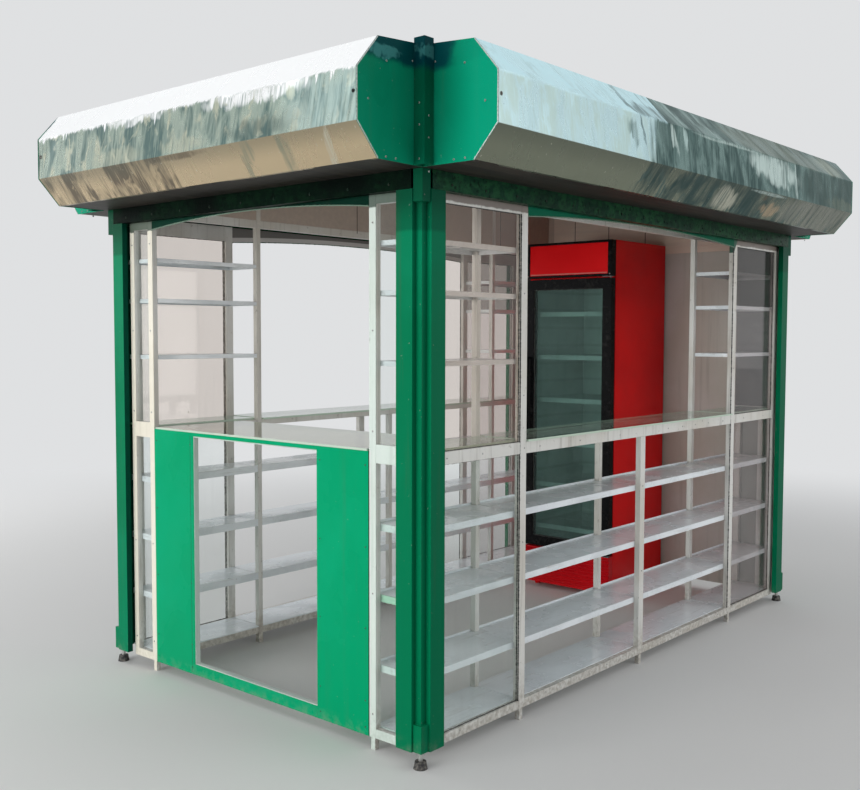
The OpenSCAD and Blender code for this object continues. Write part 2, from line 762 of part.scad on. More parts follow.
// The grille: a panel whose face is a row of sloping louvres
module cooler_grille() {
    pitch = (grille_h - 2 * louvre_d) / louvres;
    teeth = [for (i = [0 : louvres - 1])
        each [[louvre_d, louvre_d + i * pitch], [0, louvre_d + (i + louvre_slope) * pitch]]];
    deep = cabinet_x - cooler_front_x;
    outline = concat(
        [[deep, 0], [0, 0]],
        teeth,
        [[louvre_d, grille_h - louvre_d], [0, grille_h - louvre_d], [0, grille_h], [deep, grille_h]]
    );
    color(RED) placed() translate([cooler_front_x, cooler_y + cooler_w, cooler_foot_h])
        rotate([90, 0, 0]) linear_extrude(cooler_w) polygon(outline);
}

// Wire shelves on the cabinet's side walls
module cooler_shelf_set() {
    pitch = cavity_h / cooler_shelves;
    wide = cooler_w - 2 * cabinet_wall;
    last = wire_shelf_d - wire_d;
    color(WHITE) placed() for (i = [0 : cooler_shelves - 1])
        translate([cabinet_x + wire_shelf_in, cooler_y + cabinet_wall, cavity_z0 + (i + first_shelf) * pitch])
            union() {
                for (x = [0, last / 2, last]) translate([x, 0, 0]) cube([wire_d, wide, wire_d]);
                for (k = [0 : shelf_wires - 1]) translate([0, wide * (k + 0.5) / shelf_wires, wire_d / 2])
                    cube([wire_shelf_d, wire_d, wire_d]);
            }
}

// The plates above and below the door, with the pins that it turns on
module cooler_hinges() {
    pin_h = pin_depth + door_gap + hinge_plate_t / 2;
    color(BLACK) placed() {
        for (z = [grille_z1, header_z - hinge_plate_t])
            translate([cooler_front_x + past, cooler_y + past, z])
                cube([hinge_plate_w, hinge_plate_l, hinge_plate_t]);
        for (z = [door_z0 + pin_depth - pin_h, door_z1 - pin_depth])
            translate([pin_x, pin_y, z]) cylinder(d = pin_d, h = pin_h);
    }
}

// The bar handle on the far edge of the door
module door_handle() {
    y = cooler_y + cooler_w - (stile_w + handle_w) / 2;
    grip_l = handle_l - 2 * handle_t;
    translate([cooler_front_x - handle_out, y, handle_z - handle_l / 2]) difference() {
        cube([handle_out + past, handle_w, handle_l]);
        translate([handle_t, -past, handle_t]) cube([handle_out + past, handle_w + 2 * past, grip_l]);
    }
}

module cooler_door_frame() {
    bore_d = pin_d + pin_clearance;
    bore_h = pin_depth + 2 * past;
    color(BLACK) placed() difference() {
        union() {
            difference() {
                translate([cooler_front_x, cooler_y, door_z0]) cube([front_t, cooler_w, door_h]);
                translate([cooler_front_x - past, cooler_y + stile_w, door_z0 + stile_w])
                    cube([front_t + 2 * past, cooler_w - 2 * stile_w, door_h - 2 * stile_w]);
            }
            door_handle();
        }
        for (z = [door_z0 - past, door_z1 + past - bore_h])
            translate([pin_x, pin_y, z]) cylinder(d = bore_d, h = bore_h);
    }
}

module cooler_door_glass() {
    x = cooler_front_x + (front_t - door_glass_t) / 2;
    edge = stile_w + fit_gap;
    color(GLASS) placed() translate([x, cooler_y + edge, door_z0 + edge])
        cube([door_glass_t, cooler_w - 2 * edge, door_h - 2 * edge]);
}

post_front_left();
post_front_right();
post_back_left();
post_back_right();
feet();
beam_front();
beam_back();
beam_left();
beam_right();
fascia_front();
fascia_back();
fascia_left();
fascia_right();
fascia_end_plates();
canopy_corner_tubes();
soffit_boards();
roof_deck();
lining_boards();
front_uprights();
front_rails();
front_shelves();
front_counter();
front_glass();
back_uprights();
back_rails();
back_shelves();
back_counter();
back_glass();
left_frame();
entry_panel();
doorway_trim();
left_counter();
right_frame();
right_wall_sheet();
valance_front();
valance_back();
valance_left();
cooler_cabinet();
cooler_header();
cooler_header_panel();
cooler_grille();
cooler_shelf_set();
cooler_hinges();
cooler_door_frame();
cooler_door_glass();
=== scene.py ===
import math

import bmesh
import bpy
from mathutils import Matrix, Vector


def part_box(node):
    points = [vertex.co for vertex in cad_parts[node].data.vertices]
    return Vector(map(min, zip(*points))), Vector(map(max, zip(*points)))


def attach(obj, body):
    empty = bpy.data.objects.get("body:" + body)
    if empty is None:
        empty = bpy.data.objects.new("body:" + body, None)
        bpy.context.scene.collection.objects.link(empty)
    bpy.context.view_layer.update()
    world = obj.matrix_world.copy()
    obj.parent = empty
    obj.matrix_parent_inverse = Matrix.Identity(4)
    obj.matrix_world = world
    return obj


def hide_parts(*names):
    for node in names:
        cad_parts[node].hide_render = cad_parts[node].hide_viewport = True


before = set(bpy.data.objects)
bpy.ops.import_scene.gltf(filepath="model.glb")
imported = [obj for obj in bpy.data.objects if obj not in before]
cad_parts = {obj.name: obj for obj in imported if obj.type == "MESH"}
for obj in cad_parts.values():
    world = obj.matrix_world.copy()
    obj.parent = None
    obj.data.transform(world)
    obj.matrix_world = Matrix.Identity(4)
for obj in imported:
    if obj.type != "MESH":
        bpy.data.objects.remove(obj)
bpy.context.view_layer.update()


# Studio: a pale floor and backdrop, broad lamps on the entry side, in front and behind, and a pale surround.
# The camera stands where the photo was taken from, at eye height off the near corner post.
CAMERA_PLACE = Vector((-4.0803, -3.1663, 1.4655))
CAMERA_TURN = math.radians(49.144)
CAMERA_DIP = math.radians(3.307)
CAMERA_ROLL = math.radians(0.1465)
FOCAL_LENGTH = 43.585
SENSOR = 36.0
SURROUND = (0.93, 0.96, 1.0)
SURROUND_LEVEL = 0.58
BACKDROP = (0.74, 0.75, 0.76)
OVERHEAD = (0.98, 0.99, 1.0)
LAMP_SIZE = (4.0, 3.0)
LAMPS = {"entry_lamp": ((-7.5, 0.9, 1.65), (0.0, 0.0, 1.2), 215),
         "front_lamp": ((2.4, -7.0, 1.65), (0.4, 0.0, 1.2), 110),
         "back_lamp": ((-2.0, 7.5, 2.4), (0.0, 0.8, 1.0), 120)}
FLOOR_COLOUR = (0.76, 0.75, 0.73)
FLOOR_REACH = 40.0
FLOOR_NEAR = 3.0
FLOOR_FAR = 7.5
LOOKS = {"rough": "Roughness", "metal": "Metallic", "gleam": "Specular IOR Level", "sheen": "Specular Tint"}


class Value:
    """A node's output. A sum, product, power or comparison written with it adds a Math node to its tree."""

    def __init__(self, socket):
        self.socket = socket
        self.tree = socket.id_data

    def __getitem__(self, name):
        return Value(self.socket.node.outputs[name])

    __add__ = lambda a, b: calc("ADD", a, b)
    __sub__ = lambda a, b: calc("SUBTRACT", a, b)
    __rsub__ = lambda a, b: calc("SUBTRACT", b, a)
    __mul__ = lambda a, b: calc("MULTIPLY", a, b)
    __rmul__ = lambda a, b: calc("MULTIPLY", b, a)
    __truediv__ = lambda a, b: calc("DIVIDE", a, b)
    __pow__ = lambda a, b: calc("POWER", a, b)
    __gt__ = lambda a, b: calc("GREATER_THAN", a, b)
    __lt__ = lambda a, b: calc("LESS_THAN", a, b)
    __abs__ = lambda a: calc("ABSOLUTE", a, 0)


def feed(socket, value):
    """Sets an input to a number, a colour or the like, or links a value to it."""
    if isinstance(value, Value):
        socket.id_data.links.new(value.socket, socket)
    else:
        socket.default_value = (*value[:3], 1) if socket.type == "RGBA" else value


def node(tree, kind, inputs=None, out=0, **settings):
    """Adds a shader or geometry node, and gives its first output or the one named out. Inputs go by name or
    number, and several values for one input come as a list."""
    made = tree.nodes.new(kind)
    for key, value in settings.items():
        setattr(made, key, value)
    for key, value in (inputs or {}).items():
        for part in value if isinstance(value, list) else [value]:
            feed(made.inputs[key], part)
    return Value(made.outputs[out]) if made.outputs else made


def calc(operation, a, b):
    tree = (a if isinstance(a, Value) else b).tree
    return node(tree, "ShaderNodeMath", {0: a, 1: b}, operation=operation)


def rise(value, low, high, start=0.0, end=1.0):
    """A smooth step from start to end as value goes from low to high."""
    return node(value.tree, "ShaderNodeMapRange",
                {"Value": value, "From Min": low, "From Max": high, "To Min": start, "To Max": end},
                interpolation_type="SMOOTHSTEP")


def tint(share, a, b):
    """Colour b over colour a."""
    return node(share.tree, "ShaderNodeMix", {"Factor": share, 6: a, 7: b}, 2, data_type="RGBA")


def mix(share, a, b):
    """Shader b over shader a."""
    return node(share.tree, "ShaderNodeMixShader", {0: share, 1: a, 2: b})


def split(vector):
    """The x, y and z of a vector."""
    parts = node(vector.tree, "ShaderNodeSeparateXYZ", {0: vector})
    return parts["X"], parts["Y"], parts["Z"]


class Paint:
    """A material in the making, with its Object coordinates x, y and z. Its tone is built up coat by coat."""

    def __init__(self, name, tone, **looks):
        self.material = bpy.data.materials.new(name)
        self.material.use_nodes = True
        self.tree = self.material.node_tree
        shader = self.tree.nodes["Principled BSDF"]
        self.inputs = shader.inputs
        self.surface = Value(shader.outputs[0])
        self.where = node(self.tree, "ShaderNodeTexCoord", out="Object")
        self.x, self.y, self.z = split(self.where)
        self.lay(tone)
        self.set(**looks)

    def set(self, **looks):
        for key, value in looks.items():
            feed(self.inputs[LOOKS[key]], value)

    def lay(self, tone):
        self.tone = tone
        feed(self.inputs["Base Color"], tone)

    def coat(self, share, colour):
        """Lays a colour over the tone, by share."""
        self.lay(tint(share, self.tone, colour))

    def noise(self, scale, stretch=(1, 1, 1), detail=3.0, rough=0.55, source=None, twist=0.0):
        """Noise on Object coordinates, or on the given vector. A stretch under 1 draws it out along that axis."""
        placed = node(self.tree, "ShaderNodeMapping", {"Vector": source or self.where, "Scale": stretch})
        return node(self.tree, "ShaderNodeTexNoise", {
            "Vector": placed, "Scale": scale, "Detail": detail, "Roughness": rough, "Distortion": twist}, "Fac")

    def patchy(self, scale, low, high, start=0.0, end=1.0, **look):
        """Patches of noise: start where the noise is under low, and end where it is over high."""
        return rise(self.noise(scale, **look), low, high, start, end)

    def cloud(self, colour, *patches, **look):
        """Lays a colour on in patches of noise, and gives the share that they take."""
        share = self.patchy(*patches, **look)
        self.coat(share, colour)
        return share

    def relief(self, height, distance):
        feed(self.inputs["Normal"], node(self.tree, "ShaderNodeBump", {"Height": height, "Distance": distance}))

    def show(self, surface):
        """Sends another shader to the material's output."""
        self.surface = surface
        feed(self.tree.nodes["Material Output"].inputs["Surface"], surface)


def add_object(name, data):
    made = bpy.data.objects.new(name, data)
    bpy.context.scene.collection.objects.link(made)
    return made


def from_points(name, points, edges=(), faces=()):
    mesh = bpy.data.meshes.new(name)
    mesh.from_pydata(points, edges, faces)
    return add_object(name, mesh)


def set_up_studio():
    scene = bpy.context.scene
    scene.view_settings.view_transform = "Standard"
    scene.world = bpy.data.worlds.new("studio")
    scene.world.use_nodes = True
    tree = scene.world.node_tree
    tree.nodes.clear()
    ray = node(tree, "ShaderNodeLightPath")
    seen = calc("MAXIMUM", ray["Is Camera Ray"], ray["Is Glossy Ray"])
    seen = calc("MAXIMUM", seen, ray["Is Transmission Ray"])
    light, plain, above = [node(tree, "ShaderNodeBackground", {"Color": colour, "Strength": level}) for colour, level
                           in ((SURROUND, SURROUND_LEVEL), (BACKDROP, 1.0), (OVERHEAD, 1.0))]
    high = rise(split(node(tree, "ShaderNodeTexCoord", out="Generated"))[2], 0.34, 0.55)
    node(tree, "ShaderNodeOutputWorld", {"Surface": mix(seen, light, mix(high, plain, above))})

    lens = bpy.data.cameras.new("camera")
    lens.sensor_width = SENSOR
    lens.lens = FOCAL_LENGTH
    scene.camera = add_object("camera", lens)
    turn = Matrix.Rotation(-CAMERA_TURN, 4, "Z") @ Matrix.Rotation(math.pi / 2 - CAMERA_DIP, 4, "X")
    scene.camera.matrix_world = Matrix.Translation(CAMERA_PLACE) @ turn @ Matrix.Rotation(CAMERA_ROLL, 4, "Z")

    for name, (place, aim, power) in LAMPS.items():
        lamp = bpy.data.lights.new(name, "AREA")
        lamp.energy = power
        lamp.shape = "RECTANGLE"
        lamp.size, lamp.size_y = LAMP_SIZE
        holder = add_object(name, lamp)
        holder.rotation_mode = "QUATERNION"
        holder.rotation_quaternion = (Vector(aim) - Vector(place)).to_track_quat("-Z", "Y")
        holder.location = place

    corners = [(x * FLOOR_REACH, y * FLOOR_REACH, 0) for x, y in ((-1, -1), (1, -1), (1, 1), (-1, 1))]
    floor = from_points("floor", corners, faces=[(0, 1, 2, 3)])
    p = Paint("floor", FLOOR_COLOUR, rough=0.9)
    away = node(p.tree, "ShaderNodeVectorMath", {0: p.where}, "Value", operation="LENGTH")
    shown = rise(away, FLOOR_NEAR, FLOOR_FAR) * node(p.tree, "ShaderNodeLightPath")["Is Camera Ray"]
    p.show(mix(shown, p.surface, node(p.tree, "ShaderNodeEmission", {"Color": BACKDROP, "Strength": 1.0})))
    floor.data.materials.append(p.material)


set_up_studio()


# Corner posts: two box-section wings each side of a square corner rib, welded to a sleeve at the foot and
# a socket at the head, then sprayed green. The paint has dulled, with dust at the foot and runs down the faces.
# Painted shade darkens their heads, as the canopy's shadow, and the faces turned to the front.
POST_GREEN = (0.001, 0.180, 0.075)
POST_FADED = (0.002, 0.220, 0.100)
CANOPY_SHADOW_GREEN = (0.002, 0.030, 0.016)
FRONT_SHADE_GREEN = (0.001, 0.045, 0.028)
GRIME_AND_SHADE = (0.075, 0.065, 0.050)
DUST = (0.36, 0.33, 0.28)
BARE_STEEL = (0.42, 0.41, 0.39)
GREEN_SHEEN = (0.15, 0.85, 0.55)
WHITE_SHEEN = (1, 1, 1)
TUBE_EDGE = 0.0022
BEAD_RADIUS = 0.0035
NOTCH = 0.045
SLEEVE_SIDE = 0.037
SOCKET_SIDE = 0.041
SOCKET_LOW = 1.943 - 0.043
ENDS = (-1, 1)
CORNERS = [(sx, sy) for sx in ENDS for sy in ENDS]
post_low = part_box("post_front_left")[0]
HALF_L = -post_low.x
HALF_W = -post_low.y
SLEEVE_TOP = post_low.z + 0.095


def enamel(name, colour, faded, gloss=0.3, runs=0.3, dust_top=0.01, scuffs=0.2, ripple=0.0, sheen=GREEN_SHEEN,
           canopy_shadow_from=9.0):
    """Sprayed or brushed oil paint on steel, with faded clouds, dirty runs, small chips and settled dust.
    Above canopy_shadow_from it turns darker, as the painted shadow of the canopy.
    """
    p = Paint(name, colour, gleam=0.06, sheen=sheen)
    cloud = p.cloud(faded, 1.9, 0.40, 0.68, detail=4)
    p.coat(p.patchy(24, 0.54, 0.80, stretch=(1, 1, 0.05)) * runs, GRIME_AND_SHADE)
    # Painted shadow of the canopy: a sharp step darker above canopy_shadow_from, then a softer one.
    dark = rise(p.z, canopy_shadow_from, canopy_shadow_from + 0.015, 0.0, 0.45)
    p.coat(dark + rise(p.z, canopy_shadow_from + 0.03, canopy_shadow_from + 0.13, 0.0, 0.30), CANOPY_SHADOW_GREEN)
    p.coat(p.patchy(70, 0.705, 0.73, detail=5) * scuffs, BARE_STEEL)
    settled = rise(p.z, 0.0, dust_top, 1.0, 0.0) * p.patchy(30, 0.35, 0.75, detail=6)
    p.coat(settled * 0.55, DUST)
    p.set(rough=settled * 0.35 + rise(cloud, 0, 1, gloss, gloss + 0.12))
    p.relief(p.noise(260, detail=2) * 0.0004 + p.noise(3.5, detail=1) * ripple, 1.0)
    return p


def merged(name):
    """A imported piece's mesh with its loose triangles joined up, as a new bmesh."""
    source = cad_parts[name].data
    edit = bmesh.new()
    corners = [edit.verts.new(v.co) for v in source.vertices]
    for face in source.polygons:
        edit.faces.new([corners[i] for i in face.vertices])
    bmesh.ops.remove_doubles(edit, verts=edit.verts, dist=2e-5)
    return edit


def from_bmesh(name, edit, paint):
    mesh = bpy.data.meshes.new(name)
    edit.to_mesh(mesh)
    edit.free()
    mesh.materials.append(paint.material)
    return add_object(name, mesh)


def plain_mesh(piece):
    """Turns a piece's modifiers into its mesh."""
    shown = piece.evaluated_get(bpy.context.evaluated_depsgraph_get())
    mesh = bpy.data.meshes.new_from_object(shown)
    mesh.name = piece.name
    piece.modifiers.clear()
    piece.data = mesh


def ease(piece, edge, segments, sharp):
    """Bevels a piece's edges that turn by more than sharp."""
    piece.data.shade_smooth()
    bevel = piece.modifiers.new("edge", "BEVEL")
    bevel.width = edge
    bevel.segments = segments
    bevel.limit_method = "ANGLE"
    bevel.angle_limit = sharp
    bevel.harden_normals = True
    plain_mesh(piece)


def join_object(piece, body="kiosk", replaced=()):
    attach(piece, body)
    if replaced:
        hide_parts(*replaced)


def eased(name, edge, paint, body="kiosk", segments=2, sharp=0.5):
    """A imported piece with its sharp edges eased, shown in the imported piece's place."""
    edit = merged(name)
    bmesh.ops.dissolve_limit(edit, angle_limit=0.01, verts=edit.verts, edges=edit.edges)
    piece = from_bmesh("eased_" + name, edit, paint)
    ease(piece, edge, segments, sharp)
    join_object(piece, body, [name])


def geometry_tree(name, **inputs):
    """A Geometry Nodes tree with a mesh input and named inputs. One whose value is None takes a material."""
    tree = bpy.data.node_groups.new(name, "GeometryNodeTree")
    for way in ("INPUT", "OUTPUT"):
        tree.interface.new_socket("Geometry", in_out=way, socket_type="NodeSocketGeometry")
    for label, value in inputs.items():
        kind = {float: "Float", int: "Int"}.get(type(value), "Material")
        made = tree.interface.new_socket(label, in_out="INPUT", socket_type="NodeSocket" + kind)
        if value is not None:
            made.default_value = value
    return tree, node(tree, "NodeGroupInput")


def run_tree(piece, tree, **sizes):
    """Puts a tree on a piece, sets its inputs by their identifiers and keeps the result as a plain mesh."""
    step = piece.modifiers.new("make", "NODES")
    step.node_group = tree
    for item in tree.interface.items_tree:
        if item.name in sizes:
            step[item.identifier] = sizes[item.name]
    plain_mesh(piece)


def vector(tree, **parts):
    return node(tree, "ShaderNodeCombineXYZ", parts)


def painted(geometry, material):
    return node(geometry.tree, "GeometryNodeSetMaterial", {"Geometry": geometry, "Material": material})


def weld_tree():
    """A lumpy bead of weld along each edge of the input mesh."""
    tree, given = geometry_tree("weld bead", Radius=BEAD_RADIUS, Paint=None)
    path = node(tree, "GeometryNodeMeshToCurve", {"Mesh": given})
    fine = node(tree, "GeometryNodeResampleCurve", {"Curve": path, "Length": 0.003}, mode="LENGTH")
    lumps = node(tree, "ShaderNodeTexNoise", {"Scale": 160.0, "Detail": 1.0})
    swell = node(tree, "ShaderNodeMapRange",
                 {"Value": lumps, "From Min": 0.3, "From Max": 0.7, "To Min": 0.6, "To Max": 1.5})
    ring = node(tree, "GeometryNodeCurvePrimitiveCircle", {"Resolution": 6, "Radius": given["Radius"]})
    bead = node(tree, "GeometryNodeCurveToMesh",
                {"Curve": fine, "Profile Curve": ring, "Scale": swell, "Fill Caps": True})
    node(tree, "NodeGroupOutput", {0: painted(bead, given["Paint"])})
    return tree


def at_corner(corner, x, y, z):
    """A point measured inwards from the outer faces of the posts at one corner."""
    return corner[0] * (HALF_L - x), corner[1] * (HALF_W - y), z


def lay_beads(name, paths, radius, paint, body="kiosk"):
    """Beads along open paths, each a list of points, as one piece."""
    edges, start = [], 0
    for path in paths:
        edges += [(start + i, start + i + 1) for i in range(len(path) - 1)]
        start += len(path)
    piece = from_points(name, [p for path in paths for p in path], edges)
    run_tree(piece, welds, Radius=radius, Paint=paint.material)
    join_object(piece, body)


post_paint = enamel("green oil paint", POST_GREEN, POST_FADED, dust_top=0.12, scuffs=0.3, canopy_shadow_from=1.80)
# Painted shade on the faces turned to the front, deeper on the right posts and on the back ones.
to_front = split(node(post_paint.tree, "ShaderNodeNewGeometry", out="True Normal"))[1] * -1.0
share = (post_paint.y > 0.0) * 0.58 + ((post_paint.x > 0.0) * 0.22 + 0.34)
post_paint.coat(rise(to_front, 0.6, 0.9) * share, FRONT_SHADE_GREEN)
for post in ("post_front_left", "post_front_right", "post_back_left", "post_back_right"):
    eased(post, TUBE_EDGE, post_paint)

welds = weld_tree()
sleeve = NOTCH - SLEEVE_SIDE
weld_paths = []
for corner in CORNERS:
    for inset, z in ((sleeve + 0.012, SLEEVE_TOP), (NOTCH - SOCKET_SIDE + 0.016, SOCKET_LOW)):
        weld_paths.append([at_corner(corner, x, y, z) for x, y in ((NOTCH, inset), (inset, inset), (inset, NOTCH))])
    for low, high in ((post_low.z + 0.004, SLEEVE_TOP - 0.004), (SOCKET_LOW + 0.004, SOCKET_LOW + 0.036)):
        for x, y in ((NOTCH - 0.001, sleeve + 0.004), (sleeve + 0.004, NOTCH - 0.001)):
            weld_paths.append([at_corner(corner, x, y, z) for z in (low, high)])
lay_beads("post_welds", weld_paths, BEAD_RADIUS, post_paint)


# Levelling feet: a black rubber pad moulded on a zinc-plated stem that screws into the foot of the rib.
# A lock nut on the stem holds the height.
RUBBER = (0.018, 0.018, 0.020)
ZINC = (0.55, 0.55, 0.53)
PAD_TOP = 0.0265


def dress(name, paint):
    """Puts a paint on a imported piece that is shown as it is."""
    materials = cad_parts[name].data.materials
    materials.clear()
    materials.append(paint.material)


def rubber_and_zinc():
    p = Paint("rubber foot and zinc stem", RUBBER)
    p.cloud(DUST, 90, 0.40, 0.70, 0.0, 0.45, detail=5)
    high = rise(p.z, PAD_TOP - 0.0005, PAD_TOP)
    p.coat(high, ZINC)
    p.set(metal=high, rough=rise(high, 0, 1, 0.75, 0.35))
    p.relief(p.noise(420), 0.0004)
    return p


dress("feet", rubber_and_zinc())


# Top beams: box sections between the posts, painted a darker green that has gone blotchy and speckled. Their
# dark tone is partly painted shade from the canopy, deepest on the short beams. Bolts through them hold the frames
# and the canopy.
BEAM_GREEN = (0.003, 0.026, 0.012)
BEAM_BLOTCH = (0.010, 0.060, 0.022)
BEAM_SOOT_AND_SHADE = (0.003, 0.005, 0.004)
BOLT_PITCH = 0.18
BOLT_INSET = 0.15
BOLT_DROP = 0.010
BOLT_RADIUS = 0.0055
SCREW_RADIUS = 0.0042


def sooty_shaded_paint(name, darkening):
    """Old green paint, blotched and speckled with sooty specks. A larger darkening lays the dark tone over nearly
    all of it, as painted shade under the canopy.
    """
    p = Paint(name, BEAM_GREEN, gleam=0.1 * (1 - darkening), sheen=GREEN_SHEEN)
    p.cloud(BEAM_BLOTCH, 34, 0.42, 0.62, detail=4)
    speck = p.cloud(BEAM_SOOT_AND_SHADE, 62, 0.58, 0.66, 0.0, 0.85)
    p.cloud(BEAM_SOOT_AND_SHADE, 3.0, 0.40, 0.75, darkening, 0.5 + darkening)
    p.set(rough=rise(speck, 0, 1, 0.32, 0.62))
    p.relief(p.noise(60, detail=4), 0.0016)
    return p


def metal(name, colour, rough, metallic=1.0):
    """Metal with a little tarnish, or a plain dull material."""
    p = Paint(name, colour, metal=metallic)
    cloud = p.cloud(GRIME_AND_SHADE, 120, 0.42, 0.70, 0.0, 0.5, detail=4)
    p.set(rough=rise(cloud, 0, 1, rough, rough + 0.3))
    return p


def on_points(given, part, **more):
    """A part on each point of the input mesh, as plain geometry."""
    points = node(given.tree, "GeometryNodeMeshToPoints", {"Mesh": given})
    spread = node(given.tree, "GeometryNodeInstanceOnPoints", {"Points": points, "Instance": part, **more})
    return node(given.tree, "GeometryNodeRealizeInstances", {"Geometry": spread})


def moved(geometry, **steps):
    return node(geometry.tree, "GeometryNodeTransform", {"Geometry": geometry, **steps})


def joined(parts):
    return node(parts[0].tree, "GeometryNodeJoinGeometry", {0: parts})


def screw_tree():
    """A pan-head screw with a cross slot at each point, facing along the point's facing attribute."""
    tree, given = geometry_tree("screw heads", Radius=SCREW_RADIUS, Height=0.002, Steel=None, Slot=None, Seed=3)
    radius, height = given["Radius"], given["Height"]
    facing = node(tree, "GeometryNodeInputNamedAttribute", {"Name": "facing"}, data_type="FLOAT_VECTOR")
    aligned = node(tree, "FunctionNodeAlignRotationToVector", {"Vector": facing}, axis="Z")
    twist = node(tree, "FunctionNodeRandomValue", {2: 0.0, 3: 3.0, "Seed": given["Seed"]}, 1, data_type="FLOAT")
    turned = node(tree, "FunctionNodeRotateRotation", {0: aligned, 1: vector(tree, Z=twist)},
                  rotation_space="LOCAL")
    head = node(tree, "GeometryNodeMeshCone",
                {"Vertices": 12, "Radius Top": radius * 0.72, "Radius Bottom": radius, "Depth": height})
    long, thin, deep, lift = radius * 1.1, radius * 0.24, height * 1.06, height * 0.5
    bars = []
    for a, b in ((long, thin), (thin, long)):
        bar = node(tree, "GeometryNodeMeshCube", {"Size": vector(tree, X=a, Y=b, Z=deep)})
        bars.append(moved(bar, Translation=vector(tree, Z=lift)))
    screw = joined([painted(head, given["Steel"]), painted(joined(bars), given["Slot"])])
    node(tree, "NodeGroupOutput", {0: on_points(given, screw, Rotation=turned)})
    return tree


def add_vectors(mesh, name, vectors):
    mesh.attributes.new(name, "FLOAT_VECTOR", "POINT").data.foreach_set("vector", [c for v in vectors for c in v])


screws = screw_tree()
slot_black = metal("screw slot", (0.03, 0.03, 0.03), 0.7)
zinc_screw = metal("zinc screw", ZINC, 0.32)
painted_bolt = metal("painted bolt", (0.010, 0.030, 0.020), 0.5)


def set_screws(name, spots, radius, steel, tall=0.45, seed=3):
    """Screw heads at (place, facing) spots, as one mesh."""
    piece = from_points(name, [place for place, facing in spots])
    add_vectors(piece.data, "facing", [facing for place, facing in spots])
    run_tree(piece, screws, Radius=radius, Height=radius * tall, Steel=steel.material, Slot=slot_black.material,
             Seed=seed)
    join_object(piece)


# The short beams lie in the canopy's shadow, so painted shade darkens them nearly all over.
for name, darkening, beams in (("sooty green paint in painted shade", 0.0, ("beam_front", "beam_back")),
                          ("green paint in deep painted shade", 0.80, ("beam_left", "beam_right"))):
    paint = sooty_shaded_paint(name, darkening)
    for beam in beams:
        eased(beam, TUBE_EDGE, paint)

beam_low, beam_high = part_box("beam_front")
bolt_z = (beam_low.z + beam_high.z) / 2 - BOLT_DROP
beam_spots = []
for side in ENDS:
    for reach in (HALF_L, HALF_W):
        run = 2 * reach - 2 * BOLT_INSET
        count = int(run / BOLT_PITCH)
        for k in range(count + 1):
            along = -reach + BOLT_INSET + k * run / count
            beam_spots.append(((along, side * HALF_W, bolt_z), (0, side, 0)) if reach == HALF_L else
                              ((side * HALF_L, along, bolt_z), (side, 0, 0)))
set_screws("beam_bolts", beam_spots, BOLT_RADIUS, painted_bolt)


# Canopy fascia: bright sheet metal bent to five faces, wavy and dented from handling. What it mirrors is painted
# into its colour, as painted reflections drawn out into streaks from fold to fold. A bolt holds each end, and one
# has dropped out.
# Tones of painted reflection on the bright sheet. SHADE is painted shade, and GLOW is painted glints and highlights.
SNOW = (0.97, 0.98, 0.98)
SKY = (0.66, 0.91, 0.97)
BLUE = (0.57, 0.77, 0.80)
MILK = (0.50, 0.65, 0.62)
GLEAM = (0.60, 0.72, 0.68)
PALE = (0.39, 0.47, 0.40)
DUSK = (0.20, 0.295, 0.275)
TEAL = (0.095, 0.160, 0.150)
DEEP = (0.045, 0.085, 0.080)
CREAM = (0.56, 0.57, 0.44)
TAN = (0.60, 0.48, 0.31)
BROWN = (0.165, 0.135, 0.095)
OLIVE = (0.255, 0.275, 0.205)
SHADE = (0.110, 0.125, 0.100)
MOSS = (0.170, 0.200, 0.155)
GREY = (0.36, 0.36, 0.31)
GLOW = (0.62, 0.61, 0.50)
PEACH = (0.62, 0.45, 0.29)
SHEET_THICKNESS = 0.0016
CHAMFER_OUT = 0.092
CHAMFER_LOW = 0.103
CHAMFER_HIGH = 0.106
ROOF_FLANGE = 0.034
SOFFIT_FLANGE = 0.016
DENT_DEPTH = 0.0026
DENT_WAVE = 2.6
HEM_WIDTH = 0.0034
HEM_THICKNESS = 0.0006
HEM_TUCK = 0.002
PLATE_OUT = 0.010
BOLT_SET = 0.0021
BOLT_FROM_END = 0.014
BOLT_UP = 0.192
ROWS = (3, 12, 13, 12, 2)
STATIONS = 230
THIN_PATCH = 0.020
fascia_low, fascia_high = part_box("fascia_front")
OUT = -fascia_low.y - HALF_W
EDGE_LOW = fascia_low.z
EDGE_TOP = fascia_high.z
RUN_END = fascia_high.x
SIDE_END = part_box("fascia_left")[1].y
UPPER_FOLD = ROOF_FLANGE + math.hypot(CHAMFER_OUT, CHAMFER_HIGH)
LOWER_FOLD = UPPER_FOLD + EDGE_TOP - EDGE_LOW - CHAMFER_HIGH - CHAMFER_LOW
LAST_FOLD = LOWER_FOLD + math.hypot(CHAMFER_OUT, CHAMFER_LOW)
FLAT = OUT - CHAMFER_OUT
SHEET_PROFILE = [Vector(p) for p in (
    (FLAT - ROOF_FLANGE, EDGE_TOP), (FLAT, EDGE_TOP), (OUT, EDGE_TOP - CHAMFER_HIGH), (OUT, EDGE_LOW + CHAMFER_LOW),
    (FLAT, EDGE_LOW), (FLAT - SOFFIT_FLANGE, EDGE_LOW))]


def profile_rows():
    """Points (outward, height) along the sheet's outline, each with its distance along the unfolded sheet."""
    rows = [(SHEET_PROFILE[0], 0.0)]
    along = 0.0
    for a, b, count in zip(SHEET_PROFILE, SHEET_PROFILE[1:], ROWS):
        length = (b - a).length
        rows += [(a.lerp(b, k / count), along + length * k / count) for k in range(1, count + 1)]
        along += length
    return rows


